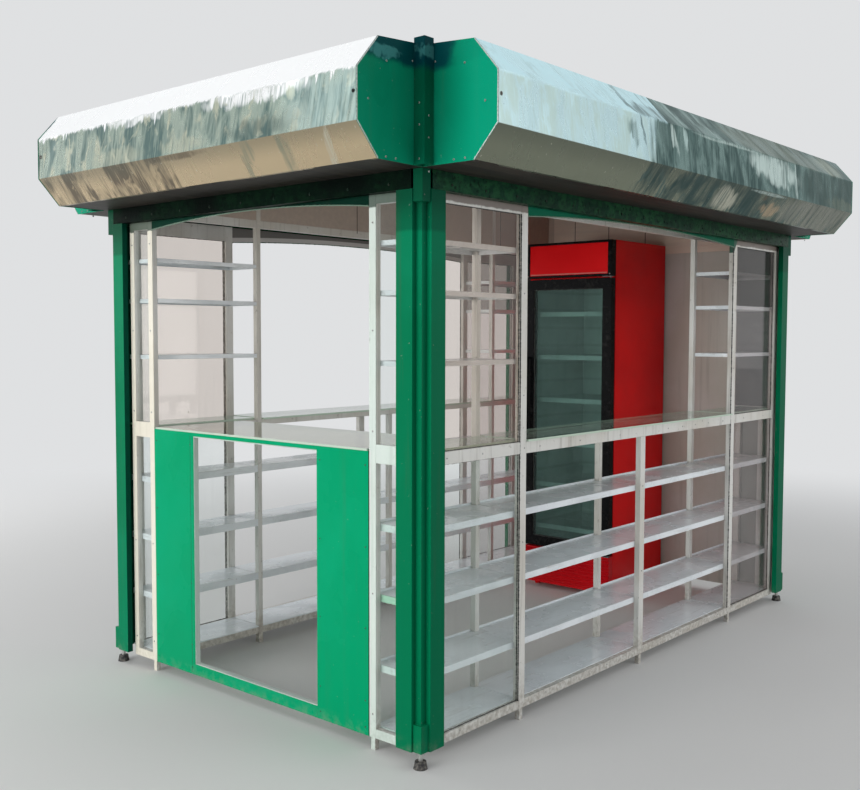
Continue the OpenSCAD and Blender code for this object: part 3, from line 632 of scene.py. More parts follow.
def dent_tree():
    """Pushes a sheet inwards by long shallow waves, which run from fold to fold, and by a few sharper dents."""
    tree, given = geometry_tree("dented sheet", Depth=DENT_DEPTH, Wave=DENT_WAVE, Seed=0.0)
    run = node(tree, "GeometryNodeInputNamedAttribute", {"Name": "run"}, data_type="FLOAT_VECTOR")
    shifted = node(tree, "ShaderNodeVectorMath", {0: run, 1: vector(tree, Z=given["Seed"])}, operation="ADD")
    drawn = node(tree, "ShaderNodeVectorMath", {0: shifted, 1: (1.0, 0.5, 1.0)}, operation="MULTIPLY")
    wave = node(tree, "ShaderNodeTexNoise",
                {"Vector": drawn, "Scale": given["Wave"], "Detail": 2.0, "Roughness": 0.35})
    pit = node(tree, "ShaderNodeTexNoise", {"Vector": shifted, "Scale": 6.0, "Detail": 0.0})
    free = rise(split(run)[1], ROOF_FLANGE, ROOF_FLANGE + 0.03)
    push = (rise(wave, 0.3, 0.7) + rise(pit, 0.62, 0.86)) * free * (given["Depth"] * -1.0)
    offset = node(tree, "ShaderNodeVectorMath", {0: node(tree, "GeometryNodeInputNormal"), "Scale": push},
                  operation="SCALE")
    placed = node(tree, "GeometryNodeSetPosition", {"Geometry": given, "Offset": offset})
    node(tree, "NodeGroupOutput", {0: placed})
    return tree


def patch(along, across, spot, ragged):
    """How far a point lies inside a slanting patch of the sheet, whose spot is (along, across, half length,
    half width, slant)."""
    a0, c0, half_a, half_c, slant = spot
    off = across - c0
    edge = (abs(along - off * slant - a0) / half_a) ** 2.0 + (abs(off) / half_c) ** 2.0
    return rise(edge + ragged, 0.40, 1.60, 1.0, 0.0)


def painted_reflection_sheet(name, bands, turn, fray, drip, seed, patches=(), edge=WHITE_SHEEN):
    """Bright sheet metal, whose colour is painted reflection. Bands are the (near, far) pairs of tones of its upper
    slope, upright face and lower slope, and turn is where along the sheet the far tones take over, as (upper, face,
    lower). The upper slope's tone runs down into the face in short teeth (fray) and long ones (drip). The lower
    slope has painted shade along its fold and small painted glints, and patches lay on more painted reflection."""
    p = Paint(name, SNOW, metal=0.8, sheen=edge)
    along, across, _ = split(node(p.tree, "ShaderNodeAttribute", out="Vector", attribute_name="run"))
    lean = vector(p.tree, X=along + across * -0.20, Y=across, Z=seed)

    def streaks(scale, drawn, detail=4, rough=0.6, twist=0.0):
        return p.noise(scale, (1, drawn, 1), detail, rough, lean, twist)

    swirl = streaks(5.0, 0.5, 3, 0.55, 0.8)
    blotch = streaks(11.0, 0.40, rough=0.55, twist=0.5)
    strip = streaks(24.0, 0.13)
    hair = streaks(85.0, 0.07, 3)
    spots = streaks(17.0, 0.55, twist=0.6)
    tooth = streaks(34.0, 0.03, 3)
    made = []
    for band, start, spread in zip(bands, turn, (0.45, 0.16, 0.60)):
        wobbled = along + (strip - 0.5) * (spread * 2) + (swirl - 0.5) * spread
        tones = []
        for light, dark, cream in band:
            tone = tint(rise(blotch, 0.42, 0.58), light, dark)
            tone = tint(rise(strip, 0.50, 0.64, 0.0, 0.50), tone, light)
            tone = tint(rise(spots, 0.52, 0.64, 0.0, 0.8), tone, cream)
            tone = tint(rise(hair, 0.50, 0.66, 0.0, 0.45), tone, light)
            tones.append(tint(rise(hair, 0.36, 0.48, 0.45, 0.0), tone, dark))
        made.append(tint(rise(wobbled, start - 0.05, start + 0.05), *tones))
    upper, middle, lower = made
    teeth = (strip + hair + swirl - 1.5) * fray - rise(tooth, 0.50, 0.70) * rise(swirl, 0.46, 0.60) * drip
    above = rise(across + teeth, UPPER_FOLD - 0.004, UPPER_FOLD + 0.010, 1.0, 0.0)
    below = rise(across, LOWER_FOLD - 0.002, LOWER_FOLD + 0.002)
    # Painted shade along the lower fold, and small painted glints on the lower slope.
    lower = tint(rise(across, LOWER_FOLD, LOWER_FOLD + 0.09, 0.45, 0.0), lower, SHADE)
    lower = tint(rise(streaks(90.0, 0.6, 2, 0.55), 0.70, 0.73, 0.0, 0.7), lower, GLOW)
    p.lay(tint(below, tint(above, middle, upper), lower))
    ragged = (strip + swirl - 1.0) * 2.2
    broken = rise(hair + strip, 0.80, 1.10, 0.35, 1.0)
    pushed = along + (blotch - 0.5) * 0.16
    raised = across + (spots - 0.5) * 0.10
    on_face = (1.0 - below) * (1.0 - above)
    for *spot, colour, share in patches:
        own = below if spot[1] > LOWER_FOLD else on_face if spot[1] > UPPER_FOLD else above
        inside = patch(pushed, raised if spot[3] > THIN_PATCH else across, spot, ragged)
        p.coat(inside * share * broken * own, colour)
    p.set(rough=rise(blotch, 0.3, 0.7, 0.22, 0.40))
    return p


def outward(carry):
    return Vector(carry(0, 1, 0)) - Vector(carry(0, 0, 0))


def fascia_sheet(name, length, carry, paint, seed):
    """One side of the canopy: carry turns (along, outward, height) into a place on that side."""
    rows = profile_rows()
    count = len(rows)
    verts, run = [], []
    for i in range(STATIONS + 1):
        along = length * (i / STATIONS - 0.5)
        for point, across in rows:
            verts.append(carry(along, point.x, point.y))
            run.append((along + length / 2, across, 0.0))
    faces = [(i * count + j, i * count + j + 1, (i + 1) * count + j + 1, (i + 1) * count + j)
             for i in range(STATIONS) for j in range(count - 1)]
    piece = from_points("sheet_" + name, verts, faces=faces)
    mesh = piece.data
    add_vectors(mesh, "run", run)
    mesh.materials.append(paint.material)
    if mesh.polygons[(STATIONS // 2) * (count - 1) + count // 2].normal.dot(outward(carry)) < 0:
        mesh.flip_normals()
    mesh.shade_smooth()
    run_tree(piece, dents, Depth=DENT_DEPTH, Wave=DENT_WAVE, Seed=seed)
    shell = piece.modifiers.new("gauge", "SOLIDIFY")
    shell.thickness = SHEET_THICKNESS
    shell.offset = -1
    plain_mesh(piece)
    piece.data.set_sharp_from_angle(angle=math.radians(26))
    join_object(piece, replaced=[name])


def hem(edit, carry, end):
    """The sheet's turned edge over one end plate, added to edit."""
    centre = Vector((FLAT - 0.06, (EDGE_LOW + EDGE_TOP) / 2))
    way = math.copysign(1, end)
    rings = []
    for outer in SHEET_PROFILE[1:5]:
        inner = outer + (centre - outer).normalized() * HEM_WIDTH * 1.15
        rings.append([edit.verts.new(carry(end + way * lift, p.x, p.y)) for p, lift in (
            (outer, -HEM_TUCK), (outer, HEM_THICKNESS), (inner, HEM_THICKNESS), (inner, -HEM_TUCK))])
    for a, b in zip(rings, rings[1:]):
        for k in range(4):
            edit.faces.new([a[k], a[(k + 1) % 4], b[(k + 1) % 4], b[k]])
    edit.faces.new(rings[0])
    edit.faces.new(rings[-1])


dents = dent_tree()
SKYLIKE = (SKY, SKY, BLUE)
MILKY = (BLUE, MILK, BLUE)
WHITISH = [SNOW] * 3
GREENISH = (DUSK, DEEP, TEAL)
TEALISH = (PALE, TEAL, CREAM)
ALL_OLIVE = [OLIVE] * 3
STREAKY = (OLIVE, DEEP, TEAL)
ALL_TAN = [TAN] * 3
BURNT = (TAN, BROWN, TAN)
LONG_SIDE = dict(bands=[(SKYLIKE, GREENISH), (MILKY, GREENISH), (ALL_OLIVE, STREAKY)], drip=0.0,
                 edge=(0.62, 0.68, 0.68))
SHORT_SIDE = dict(bands=[(WHITISH, WHITISH), (TEALISH, TEALISH), (ALL_TAN, BURNT)], fray=0.036, drip=0.055)
face_mid = (UPPER_FOLD + LOWER_FOLD) / 2
low_mid = (LOWER_FOLD + LAST_FOLD) / 2
top_mid = (ROOF_FLANGE + UPPER_FOLD) / 2
# Patches of painted reflection, as (along, across, half length, half width, slant, colour, share).
FRONT_PATCHES = [
    (0.805, face_mid - 0.005, 0.018, 0.046, 0.40, TEAL, 0.80),
    (0.865, face_mid - 0.020, 0.012, 0.060, 0.40, DEEP, 0.7),
    (0.80, top_mid + 0.005, 0.012, 0.070, 0.45, DEEP, 0.6),
    (0.98, UPPER_FOLD - 0.030, 0.150, 0.040, 0.60, DEEP, 0.75),
    (0.94, top_mid, 0.030, 0.090, 0.55, SKY, 0.75),
    (1.20, top_mid + 0.010, 0.026, 0.080, 0.50, MILK, 0.7),
    (1.45, top_mid, 0.016, 0.060, 0.55, MILK, 0.6),
    (1.90, UPPER_FOLD - 0.035, 0.018, 0.050, 0.40, GLEAM, 0.6),
    (1.04, face_mid - 0.05, 0.050, 0.080, 0.45, DEEP, 0.6),
    (1.12, face_mid - 0.030, 0.013, 0.060, 0.35, GLEAM, 0.8),
    (1.20, face_mid - 0.045, 0.030, 0.046, 0.45, MILK, 1.0),
    (1.60, UPPER_FOLD + 0.004, 0.30, 0.010, 0.0, GLEAM, 0.7),
    (1.96, UPPER_FOLD + 0.045, 0.15, 0.045, 0.8, GLEAM, 0.95),
    (2.12, UPPER_FOLD + 0.068, 0.21, 0.055, 0.6, GLEAM, 1.0),
    (2.31, UPPER_FOLD + 0.080, 0.018, 0.085, 0.25, GLEAM, 0.9),
    (2.21, UPPER_FOLD + 0.080, 0.014, 0.060, 0.30, DUSK, 0.8),
    (2.80, face_mid, 0.42, 0.130, 0.10, (0.070, 0.105, 0.095), 0.9),
    (2.90, LOWER_FOLD - 0.025, 0.16, 0.030, 0.0, MOSS, 0.7),
    (2.20, top_mid, 0.60, 0.095, 0.30, MOSS, 0.85),
    (2.80, top_mid + 0.005, 0.17, 0.080, 0.30, CREAM, 0.5),
    (1.42, low_mid - 0.005, 0.16, 0.070, 0.50, DEEP, 0.9),
    (1.68, low_mid + 0.012, 0.11, 0.052, 0.40, GLOW, 0.95),
    (1.92, low_mid, 0.085, 0.085, 0.90, DEEP, 0.85),
    (2.04, LOWER_FOLD + 0.010, 0.15, 0.008, 0.0, GLEAM, 0.75),
    (2.02, LOWER_FOLD + 0.034, 0.030, 0.012, 0.0, BROWN, 0.9),
    (2.14, low_mid + 0.018, 0.10, 0.030, 0.60, PEACH, 0.7),
    (2.72, low_mid, 0.48, 0.095, 0.20, GREY, 0.95)]
# Patches of painted reflection on the left side, in the same columns.
LEFT_PATCHES = [
    (0.46, UPPER_FOLD + 0.008, 0.27, 0.034, 0.0, SNOW, 1.0),
    (1.15, UPPER_FOLD + 0.004, 0.20, 0.022, 0.0, SNOW, 0.9),
    (0.06, face_mid, 0.26, 0.130, 0.0, MILK, 0.55),
    (0.46, LOWER_FOLD - 0.030, 0.17, 0.034, 0.0, DEEP, 0.6),
    (0.88, LOWER_FOLD - 0.028, 0.14, 0.030, 0.0, CREAM, 0.6),
    (1.27, LOWER_FOLD - 0.026, 0.15, 0.034, 0.3, CREAM, 0.5),
    (0.90, LOWER_FOLD + 0.012, 0.15, 0.014, 0.3, BROWN, 0.8),
    (0.37, low_mid, 0.030, 0.100, 0.3, OLIVE, 0.8),
    (0.56, low_mid, 0.020, 0.100, 0.3, OLIVE, 0.7),
    (0.16, low_mid, 0.020, 0.100, 0.3, GLOW, 0.8)]
CANOPY = {
    "front": (lambda a, o, z: (a, -HALF_W - o, z), RUN_END,
              dict(turn=(1.05, 0.95, 0.90), fray=0.010, seed=3.0, patches=FRONT_PATCHES, **LONG_SIDE)),
    "left": (lambda a, o, z: (-HALF_L - o, a, z), SIDE_END,
             dict(turn=(9.0, 9.0, 1.00), seed=8.0, patches=LEFT_PATCHES, **SHORT_SIDE)),
    "back": (lambda a, o, z: (a, HALF_W + o, z), RUN_END,
             dict(turn=(1.70, 1.85, 1.60), fray=0.012, seed=15.0, **LONG_SIDE)),
    "right": (lambda a, o, z: (HALF_L + o, a, z), SIDE_END, dict(turn=(9.0, 9.0, 0.60), seed=23.0, **SHORT_SIDE))}
hems = bmesh.new()
sheet_bolts, holes = [], []
for name, (carry, half, look) in CANOPY.items():
    fascia_sheet("fascia_" + name, 2 * half, carry, painted_reflection_sheet("bright sheet " + name, **look), look["seed"])
    for end in (-half, half):
        hem(hems, carry, end + math.copysign(PLATE_OUT - 0.007, end))
        place = carry(end * (1 - BOLT_FROM_END / half), OUT - BOLT_SET, EDGE_LOW + BOLT_UP)
        (holes if name == "left" and end < 0 else sheet_bolts).append((place, outward(carry)))
bmesh.ops.recalc_face_normals(hems, faces=hems.faces)
join_object(from_bmesh("sheet_hems", hems, metal("sheet edge", (0.40, 0.45, 0.43), 0.35)))
dull_bolt = metal("dull bolt", (0.14, 0.14, 0.13), 0.45)
set_screws("sheet_bolts", sheet_bolts, 0.008, dull_bolt, tall=0.25)
set_screws("empty_bolt_hole", holes, 0.006, slot_black, tall=0.25)


# End plates and corner tubes: green sheet steel plates close the sheets' ends, and a square tube joins each
# pair of them at the corner of the canopy. Self-drilling screws hold the plates to the tube.
PLATE_GREEN = (0.002, 0.190, 0.100)
PLATE_FADED = (0.003, 0.235, 0.130)
PLATE_LIT_GREEN = (0.003, 0.420, 0.240)
TUBE_GREEN = (0.001, 0.085, 0.045)
TUBE_FADED = (0.002, 0.12, 0.06)
HEAD_BLUE = (0.001, 0.036, 0.052)
HEAD_GLINT = (0.060, 0.260, 0.250)
PLATE_SCREWS = [(0.181, 2.307), (0.184, 2.008), (0.139, 2.013), (0.060, 2.330), (0.262, 2.180)]
TUBE_SCREWS = [2.198, 2.130, 2.023]
TUBE_SCREW_DROP = 0.04
SMALL_SCREW = 0.0038


def head_tones(p, spot, share):
    """Turns the paint blue-black towards the head of the canopy's corners, with a pale painted highlight in it at
    spot. The end plates of the long sides get painted light towards their outer ends.
    """
    out_x = abs(p.x) - HALF_L
    out_y = abs(p.y) - HALF_W
    # Painted light: lighter towards the outer ends of the long sides' end plates.
    p.coat(rise(out_y, 0.05, 0.25, 0.0, 0.6), PLATE_LIT_GREEN)
    wander = p.noise(12) - 0.5
    darkening = rise(p.z + wander * 0.04, 2.295, 2.325, 0.0, 0.9) * rise(out_y + wander * 0.10, 0.11, 0.16, 1.0, 0.1)
    p.coat(darkening, HEAD_BLUE)
    ragged = (p.noise(28, detail=4, twist=0.4) - 0.5) * 6.0
    # Painted highlight at spot.
    p.coat(patch(out_x, p.z, spot, ragged) * share, HEAD_GLINT)


plate_paint = enamel("green plate paint", PLATE_GREEN, PLATE_FADED, gloss=0.22, runs=0.10, ripple=0.004)
tube_paint = enamel("green tube paint", TUBE_GREEN, TUBE_FADED, gloss=0.28, runs=0.2)
# Painted highlights near the top of the short sides' end plates and on top of the corner tubes.
head_tones(plate_paint, (0.200, 2.336, 0.060, 0.022, 0.0), 0.7)
head_tones(tube_paint, (0.010, 2.362, 0.060, 0.024, 0.0), 0.6)
eased("fascia_end_plates", 0.0008, plate_paint)
eased("canopy_corner_tubes", TUBE_EDGE, tube_paint)
tube_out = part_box("canopy_corner_tubes")[1].x - HALF_L
tube_mid = (tube_out + PLATE_OUT) / 2


def corner_pair(corner, out, along, z, drop=0.0):
    """Two screws at one corner, each out before one of its faces. The second sits lower by drop."""
    return [(at_corner(corner, -out, -along, z), (corner[0], 0, 0)),
            (at_corner(corner, -along, -out, z - drop), (0, corner[1], 0))]


plate_spots, tube_spots = [], []
for corner in CORNERS:
    for along, z in PLATE_SCREWS:
        plate_spots += corner_pair(corner, PLATE_OUT, along, max(z, EDGE_LOW + 0.010))
    for z in TUBE_SCREWS:
        tube_spots += corner_pair(corner, tube_out, tube_mid, z, TUBE_SCREW_DROP)
dull_screw = metal("dull zinc screw", (0.34, 0.36, 0.34), 0.4)
set_screws("plate_screws", plate_spots, SMALL_SCREW, dull_screw)
set_screws("tube_screws", tube_spots, SMALL_SCREW, dull_screw, seed=9)


# Boards: dark boards under the canopy, a plain roof deck, and mauve laminated boards that line the inside
# above the showcases. The linings are in lengths, with open joints between them.
SOFFIT = (0.016, 0.015, 0.013)
SOFFIT_PALE = (0.042, 0.034, 0.026)
LINING = (0.62, 0.51, 0.43)
LINING_WARM = (0.68, 0.56, 0.46)
BACK_LINING_SHADE = (0.16, 0.13, 0.115)
DECK = (0.30, 0.27, 0.235)
DECK_PALE = (0.36, 0.32, 0.27)
DARK_STAIN_JOINT_AND_SHADE = (0.020, 0.017, 0.014)
LINING_T = 0.009
JOINT_WIDE = 0.004
SKIN = 0.0008
STRIP_REACH = 0.80
BAY_MID = 0.904
BAY_POST = 0.0125


def board(name, colour, other, stretch, rough, stain):
    """A laminated or plain board, with a drawn-out grain along one axis and water stains."""
    p = Paint(name, colour, gleam=0.25, rough=rough)
    grain = p.cloud(other, 45, 0.35, 0.70, stretch=stretch, detail=5)
    p.cloud(DARK_STAIN_JOINT_AND_SHADE, 2.6, 0.52, 0.72, 0.0, stain, detail=5)
    p.relief(grain, 0.0003)
    return p


def boxes_mesh(name, boxes, paint, edge=0.0):
    """Plain blocks, given as (low corner, high corner), as one piece."""
    edit = bmesh.new()
    for low, high in boxes:
        size = Vector(high) - Vector(low)
        made = bmesh.ops.create_cube(edit, size=1.0)["verts"]
        bmesh.ops.scale(edit, vec=size, verts=made)
        bmesh.ops.translate(edit, vec=Vector(low) + size / 2, verts=made)
    piece = from_bmesh(name, edit, paint)
    if edge:
        ease(piece, edge, 2, 0.5)
    join_object(piece)


ALONG_X, ALONG_Y = (0.06, 1, 1), (1, 0.06, 1)
dress("soffit_boards", board("dark soffit board", SOFFIT, SOFFIT_PALE, ALONG_X, 0.5, 0.35))
dress("roof_deck", board("roof deck board", DECK, DECK_PALE, ALONG_X, 0.8, 0.3))
lining_paint = board("mauve lining board", LINING, LINING_WARM, ALONG_Y, 0.5, 0.12)
# Painted shade: the back linings are darker than the side ones.
lining_paint.coat((lining_paint.y > 0.6) * 0.35, BACK_LINING_SHADE)
dress("lining_boards", lining_paint)
lining_low, lining_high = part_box("lining_boards")
inner_x, inner_y = lining_high.x - LINING_T, lining_high.y - LINING_T
joints, bars = [], []
for side in ENDS:
    for x in (-0.254, 0.966):
        joints.append(((x, side * inner_y - SKIN, lining_low.z + 0.003),
                       (x + JOINT_WIDE, side * inner_y + SKIN, lining_high.z)))
    for y in (0.1975, -0.0525, 0.44):
        joints.append(((side * inner_x - SKIN, y, lining_low.z + 0.003),
                       (side * inner_x + SKIN, y + JOINT_WIDE, lining_high.z)))
    for sx in ENDS:
        bars.append(((sx * BAY_MID - BAY_POST, side * inner_y - 0.003, lining_low.z),
                     (sx * BAY_MID + BAY_POST, side * inner_y + 0.003, lining_high.z)))
joint_and_gap_shade = metal("dark joint and gap shade", DARK_STAIN_JOINT_AND_SHADE, 0.9, 0.0)
boxes_mesh("lining_joints", joints, joint_and_gap_shade)
strip_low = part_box("beam_right")[0]
boxes_mesh("wall_head_strip", [((strip_low.x - SKIN, -STRIP_REACH, strip_low.z),
                                (strip_low.x + SKIN, STRIP_REACH, lining_low.z + 0.001))],
           lining_paint)


# White frames: square steel bars welded into ladders that carry the shelves and the panes, with short legs
# under them. The white enamel is grimy, with green overspray on the far upright's mitre and darker heads on the
# outer faces under the beams. The bars that face the entry carry painted light, and zinc screws run along the rails.
WHITE = (0.71, 0.70, 0.66)
WHITE_WARM = (0.62, 0.59, 0.53)
WHITE_GRIME = (0.30, 0.275, 0.235)
SUNLIT = (0.92, 0.86, 0.70)
COOL_WHITE = (0.66, 0.80, 0.72)
RAIL_HEAD_GREEN_GREY = (0.050, 0.085, 0.060)
RAIL_HEAD_RED_GREY = (0.150, 0.120, 0.100)
MITRE_GREEN = (0.008, 0.075, 0.040)
BAR_EDGE = 0.0016
FAR_UPRIGHT = 0.884
MITRE_LOW = 1.878
MITRE_RISE = 1.6
RAIL_SCREWS = [0.174, 0.373, 0.628, 0.730, 1.012, 1.325, 1.752, 1.893, 2.020, 2.157, 2.318, 2.560, 2.800]
FOOT_SCREWS = [0.250, 0.780, 1.240, 1.900, 2.300, 2.780]
UPRIGHT_SCREWS = [(0.392, 1.100), (0.621, 0.684), (0.621, 1.240), (0.621, 1.620), (2.429, 0.560), (2.429, 1.300),
                  (2.429, 1.730), (1.525, 0.420), (1.525, 0.800)]
COUNTER_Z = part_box("front_counter")[0].z
rail_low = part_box("front_rails")[0]
FACE_Y = -rail_low.y
side_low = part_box("left_frame")[0]


def white_enamel():
    """Grimy white paint: runs and scuffs, dusty feet, green overspray on the far upright's mitre, and darker heads
    on the outer faces under the beams. The faces turned to the entry carry painted light, warm at the back and cool
    and greenish at the front.
    """
    p = Paint("white enamel", WHITE, gleam=0.35)
    p.cloud(WHITE_WARM, 2.4, 0.42, 0.64, detail=4)
    p.cloud(WHITE_GRIME, 42, 0.50, 0.78, 0.0, 0.55, stretch=(1, 1, 0.06), detail=4)
    scuff = p.cloud(WHITE_GRIME, 55, 0.63, 0.68, 0.0, 0.7, detail=6, rough=0.7)
    p.coat(rise(p.z, 0.02, 0.22, 1.0, 0.0) * p.patchy(60, 0.3, 0.7, detail=5), DUST)
    entry = p.x < side_low.x + 0.003
    # Painted light on the faces turned to the entry: warm sunlight towards the back, and a cool greenish light
    # towards the front.
    p.coat(entry * rise(p.y, 0.4, 0.5, 0.0, 0.65), SUNLIT)
    p.coat(entry * rise(p.y, -0.5, -0.4, 0.6, 0.0), COOL_WHITE)
    # The heads of the outer faces turn dark greenish grey, reddish grey on the front face, and lower down on the
    # entry side.
    wobbled = p.z + p.noise(30, detail=4) * 0.014 + entry * 0.016
    outer = calc("MAXIMUM", abs(p.y) > FACE_Y - 0.003, entry)
    p.coat(rise(wobbled, 1.923, 1.929, 0.0, 0.92) * outer, tint(p.y < -FACE_Y + 0.003, RAIL_HEAD_GREEN_GREY, RAIL_HEAD_RED_GREY))
    over = rise(p.z - (p.x - FAR_UPRIGHT) * MITRE_RISE, MITRE_LOW, MITRE_LOW + 0.004)
    near = (p.x > FAR_UPRIGHT - 0.002) * (p.y < -0.8) * (p.x < FAR_UPRIGHT + 0.042)
    p.coat(over * near, MITRE_GREEN)
    p.set(rough=rise(scuff, 0, 1, 0.32, 0.7))
    p.relief(p.noise(220) * 0.4 + scuff * -1.0, 0.0005)
    return p


white_paint = white_enamel()
for name in ("front_uprights", "front_rails", "back_uprights", "back_rails", "left_frame", "right_frame"):
    eased(name, BAR_EDGE, white_paint)
boxes_mesh("bay_bars_over_lining", bars, white_paint, edge=0.001)
in_rails = [(along, COUNTER_Z - 0.024) for along in RAIL_SCREWS] + [(along, 0.066) for along in FOOT_SCREWS]
rail_spots = [((along - HALF_L, side * FACE_Y, z), (0, side, 0))
              for side in ENDS for along, z in in_rails + UPRIGHT_SCREWS]
rail_spots += [((side_low.x, y, z), (-1, 0, 0)) for y in (-0.790, -0.660, 0.660, 0.790)
               for z in (0.130, 0.560, 1.130, 1.480, 1.850)]
set_screws("frame_screws", rail_spots, 0.0036, zinc_screw, seed=21)


# Shelves: thin steel sheets with folded lips, in a glossy cool white. They lie bay by bay between the bars,
# with an open joint between neighbours, and are scratched and dusty where goods slid over them.
SHELF_WHITE = (0.84, 0.88, 0.90)
SHELF_GREY = (0.70, 0.74, 0.76)
SHEET_EDGE = 0.0007
LIT_LIP_GREEN = (0.30, 0.66, 0.42)
LIP_FROM = -1.452
LIT_LIP_Z = 0.54


def shelf_enamel():
    """Glossy cool white enamel with dusty clouds, drag marks along the shelf and a few bare scratches. The end lips
    of the front shelves at the entry end, below the counter, carry pale green painted light, strongest near
    LIT_LIP_Z.
    """
    p = Paint("shelf enamel", SHELF_WHITE)
    cloud = p.cloud(SHELF_GREY, 5.5, 0.38, 0.68, detail=5)
    p.cloud(DUST, 60, 0.55, 0.75, 0.0, 0.35, stretch=(0.08, 1, 1), detail=4)
    p.cloud(WHITE_GRIME, 85, 0.69, 0.72, 0.0, 0.6, detail=5)
    # Painted light: pale green on the entry-end lips of the front shelves, below the counter.
    end = (p.x < LIP_FROM) * (p.y < 0.0) * (p.z < COUNTER_Z)
    p.coat(end * rise(abs(p.z - LIT_LIP_Z) < 0.06, 0, 1, 0.25, 0.8), LIT_LIP_GREEN)
    p.set(rough=rise(cloud, 0, 1, 0.16, 0.38))
    p.relief(p.noise(5.0, detail=2), 0.0018)
    return p


shelf_paint = shelf_enamel()
for name in ("front_shelves", "back_shelves"):
    eased(name, SHEET_EDGE, shelf_paint, sharp=0.7)


# Panes: clear glass in the end bays, held by beads of dark sealant. Over the counter the left bay has a faded
# mauve film on it, and the right bay is grey with dust.
GLASS_TINT = (0.965, 0.98, 0.975)
FILM_TINT = (0.94, 0.90, 0.87)
SMOKE_TINT = (0.88, 0.86, 0.86)
HEAD_SMOKE = (0.56, 0.54, 0.53)
HAZE = (0.52, 0.49, 0.45)
SEALANT = (0.020, 0.021, 0.020)
SEALANT_RADIUS = 0.0022
MIRROR = (0.95, 0.96, 0.96)
MIRROR_SHARE = 0.022
BAR = 0.040
BAR_DEEP = 0.025
BAY_BAR = -0.924
RAIL_LOW = COUNTER_Z - 0.045


def glazing(name, clear, haze_share, streak_share, rough=0.04, masks=(), film=HAZE):
    """Clear glass. It mirrors by the angle of view, and wears a film of dust. Masks are further tints, as
    (from x, to x, from z, tint, more haze)."""
    p = Paint(name, film, rough=rough)
    mirrored = node(p.tree, "ShaderNodeLayerWeight", {"Blend": 0.5}, "Facing") ** 5.0 * 0.9 + MIRROR_SHARE
    haze = p.patchy(3.5, 0.35, 0.75, haze_share * 0.5, haze_share * 1.6, detail=5) + p.patchy(
        30, 0.50, 0.80, 0.0, streak_share, stretch=(1, 1, 0.07), detail=5)
    for low, high, floor, colour, extra in masks:
        inside = (p.x > low) * (p.x < high) * (p.z > floor)
        clear = tint(inside, clear, colour)
        haze = haze + inside * extra
    total = calc("MINIMUM", mirrored + haze, 1.0)
    share = mirrored / total
    p.coat(share, MIRROR)
    p.set(metal=share)
    p.show(mix(total, node(p.tree, "ShaderNodeBsdfTransparent", {"Color": clear}), p.surface))
    return p


pane_glass = glazing("pane glass", GLASS_TINT, 0.010, 0.030, masks=(
    (-1.40, -0.90, 1.06, FILM_TINT, 0.035), (0.90, 1.40, 0.0, SMOKE_TINT, 0.025),
    (0.90, 1.40, 1.62, HEAD_SMOKE, 0.0)))
for name in ("front_glass", "back_glass"):
    dress(name, pane_glass)
pane_low, pane_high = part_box("front_glass")
first_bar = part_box("front_uprights")[0].x
sealant_paths = []
for side in ENDS:
    y = side * (FACE_Y - BAR_DEEP / 2 + 0.0025)
    for sx in ENDS:
        x0, x1 = -sx * (first_bar + BAR), -sx * BAY_BAR
        for z0, z1 in ((pane_low.z, RAIL_LOW), (COUNTER_Z, pane_high.z)):
            sealant_paths.append([(x0, y, z0), (x1, y, z0), (x1, y, z1), (x0, y, z1), (x0, y, z0)])
    for x in (BAY_BAR, -BAY_BAR - BAR):
        sealant_paths.append([(x - 0.0005, side * (FACE_Y - 0.0015), z) for z in (pane_low.z, pane_high.z)])
sealant = metal("dark sealant", SEALANT, 0.6, 0.0)
lay_beads("pane_sealant", sealant_paths, SEALANT_RADIUS, sealant)


# Showcase ends: at the closed wall a dark film lines the upper end of each showcase, between the shelves and
# the white frame. Its dark tone is painted shade for the showcases' ends, and it is streaked with dust.
END_SHADE_FILM = (0.055, 0.053, 0.055)
END_SHADE_FILM_PALE = (0.10, 0.095, 0.09)
FILM_T = 0.0006
FILM_GAP = 0.0002
frame_low, frame_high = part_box("right_frame")
film_y = (rail_low.y + BAR_DEEP, -lining_high.y + LINING_T)
boxes_mesh("showcase_shade_film", [
    ((frame_low.x - FILM_T - FILM_GAP, y0, COUNTER_Z + 0.010), (frame_low.x - FILM_GAP, y1, frame_high.z - 0.004))
    for y0, y1 in (film_y, (-film_y[1], -film_y[0]))],
    board("dark shade film", END_SHADE_FILM, END_SHADE_FILM_PALE, ALONG_Y, 0.4, 0.5))


# Counters: plate glass over the white rails, with ground edges that look pale green. A clear sheet lies over
# the entry panel, between the two showcases.
EDGE_GREEN = (0.52, 0.64, 0.52)
COUNTER_TINT = (0.80, 0.87, 0.83)
ENTRY_TINT = (0.56, 0.57, 0.45)


def counter_plate(name, clear):
    """Plate glass whose ground edges are pale green and nearly opaque."""
    p = glazing(name, clear, 0.05, 0.04, rough=0.06)
    up = split(node(p.tree, "ShaderNodeNewGeometry", out="Normal"))[2]
    ground = node(p.tree, "ShaderNodeBsdfPrincipled", {"Base Color": EDGE_GREEN, "Roughness": 0.35})
    p.show(mix(rise(abs(up), 0.4, 0.6), ground, p.surface))
    return p


plate_glass = counter_plate("counter plate glass", COUNTER_TINT)
dress("front_counter", plate_glass)
dress("back_counter", plate_glass)
dress("left_counter", counter_plate("entry counter glass", ENTRY_TINT))


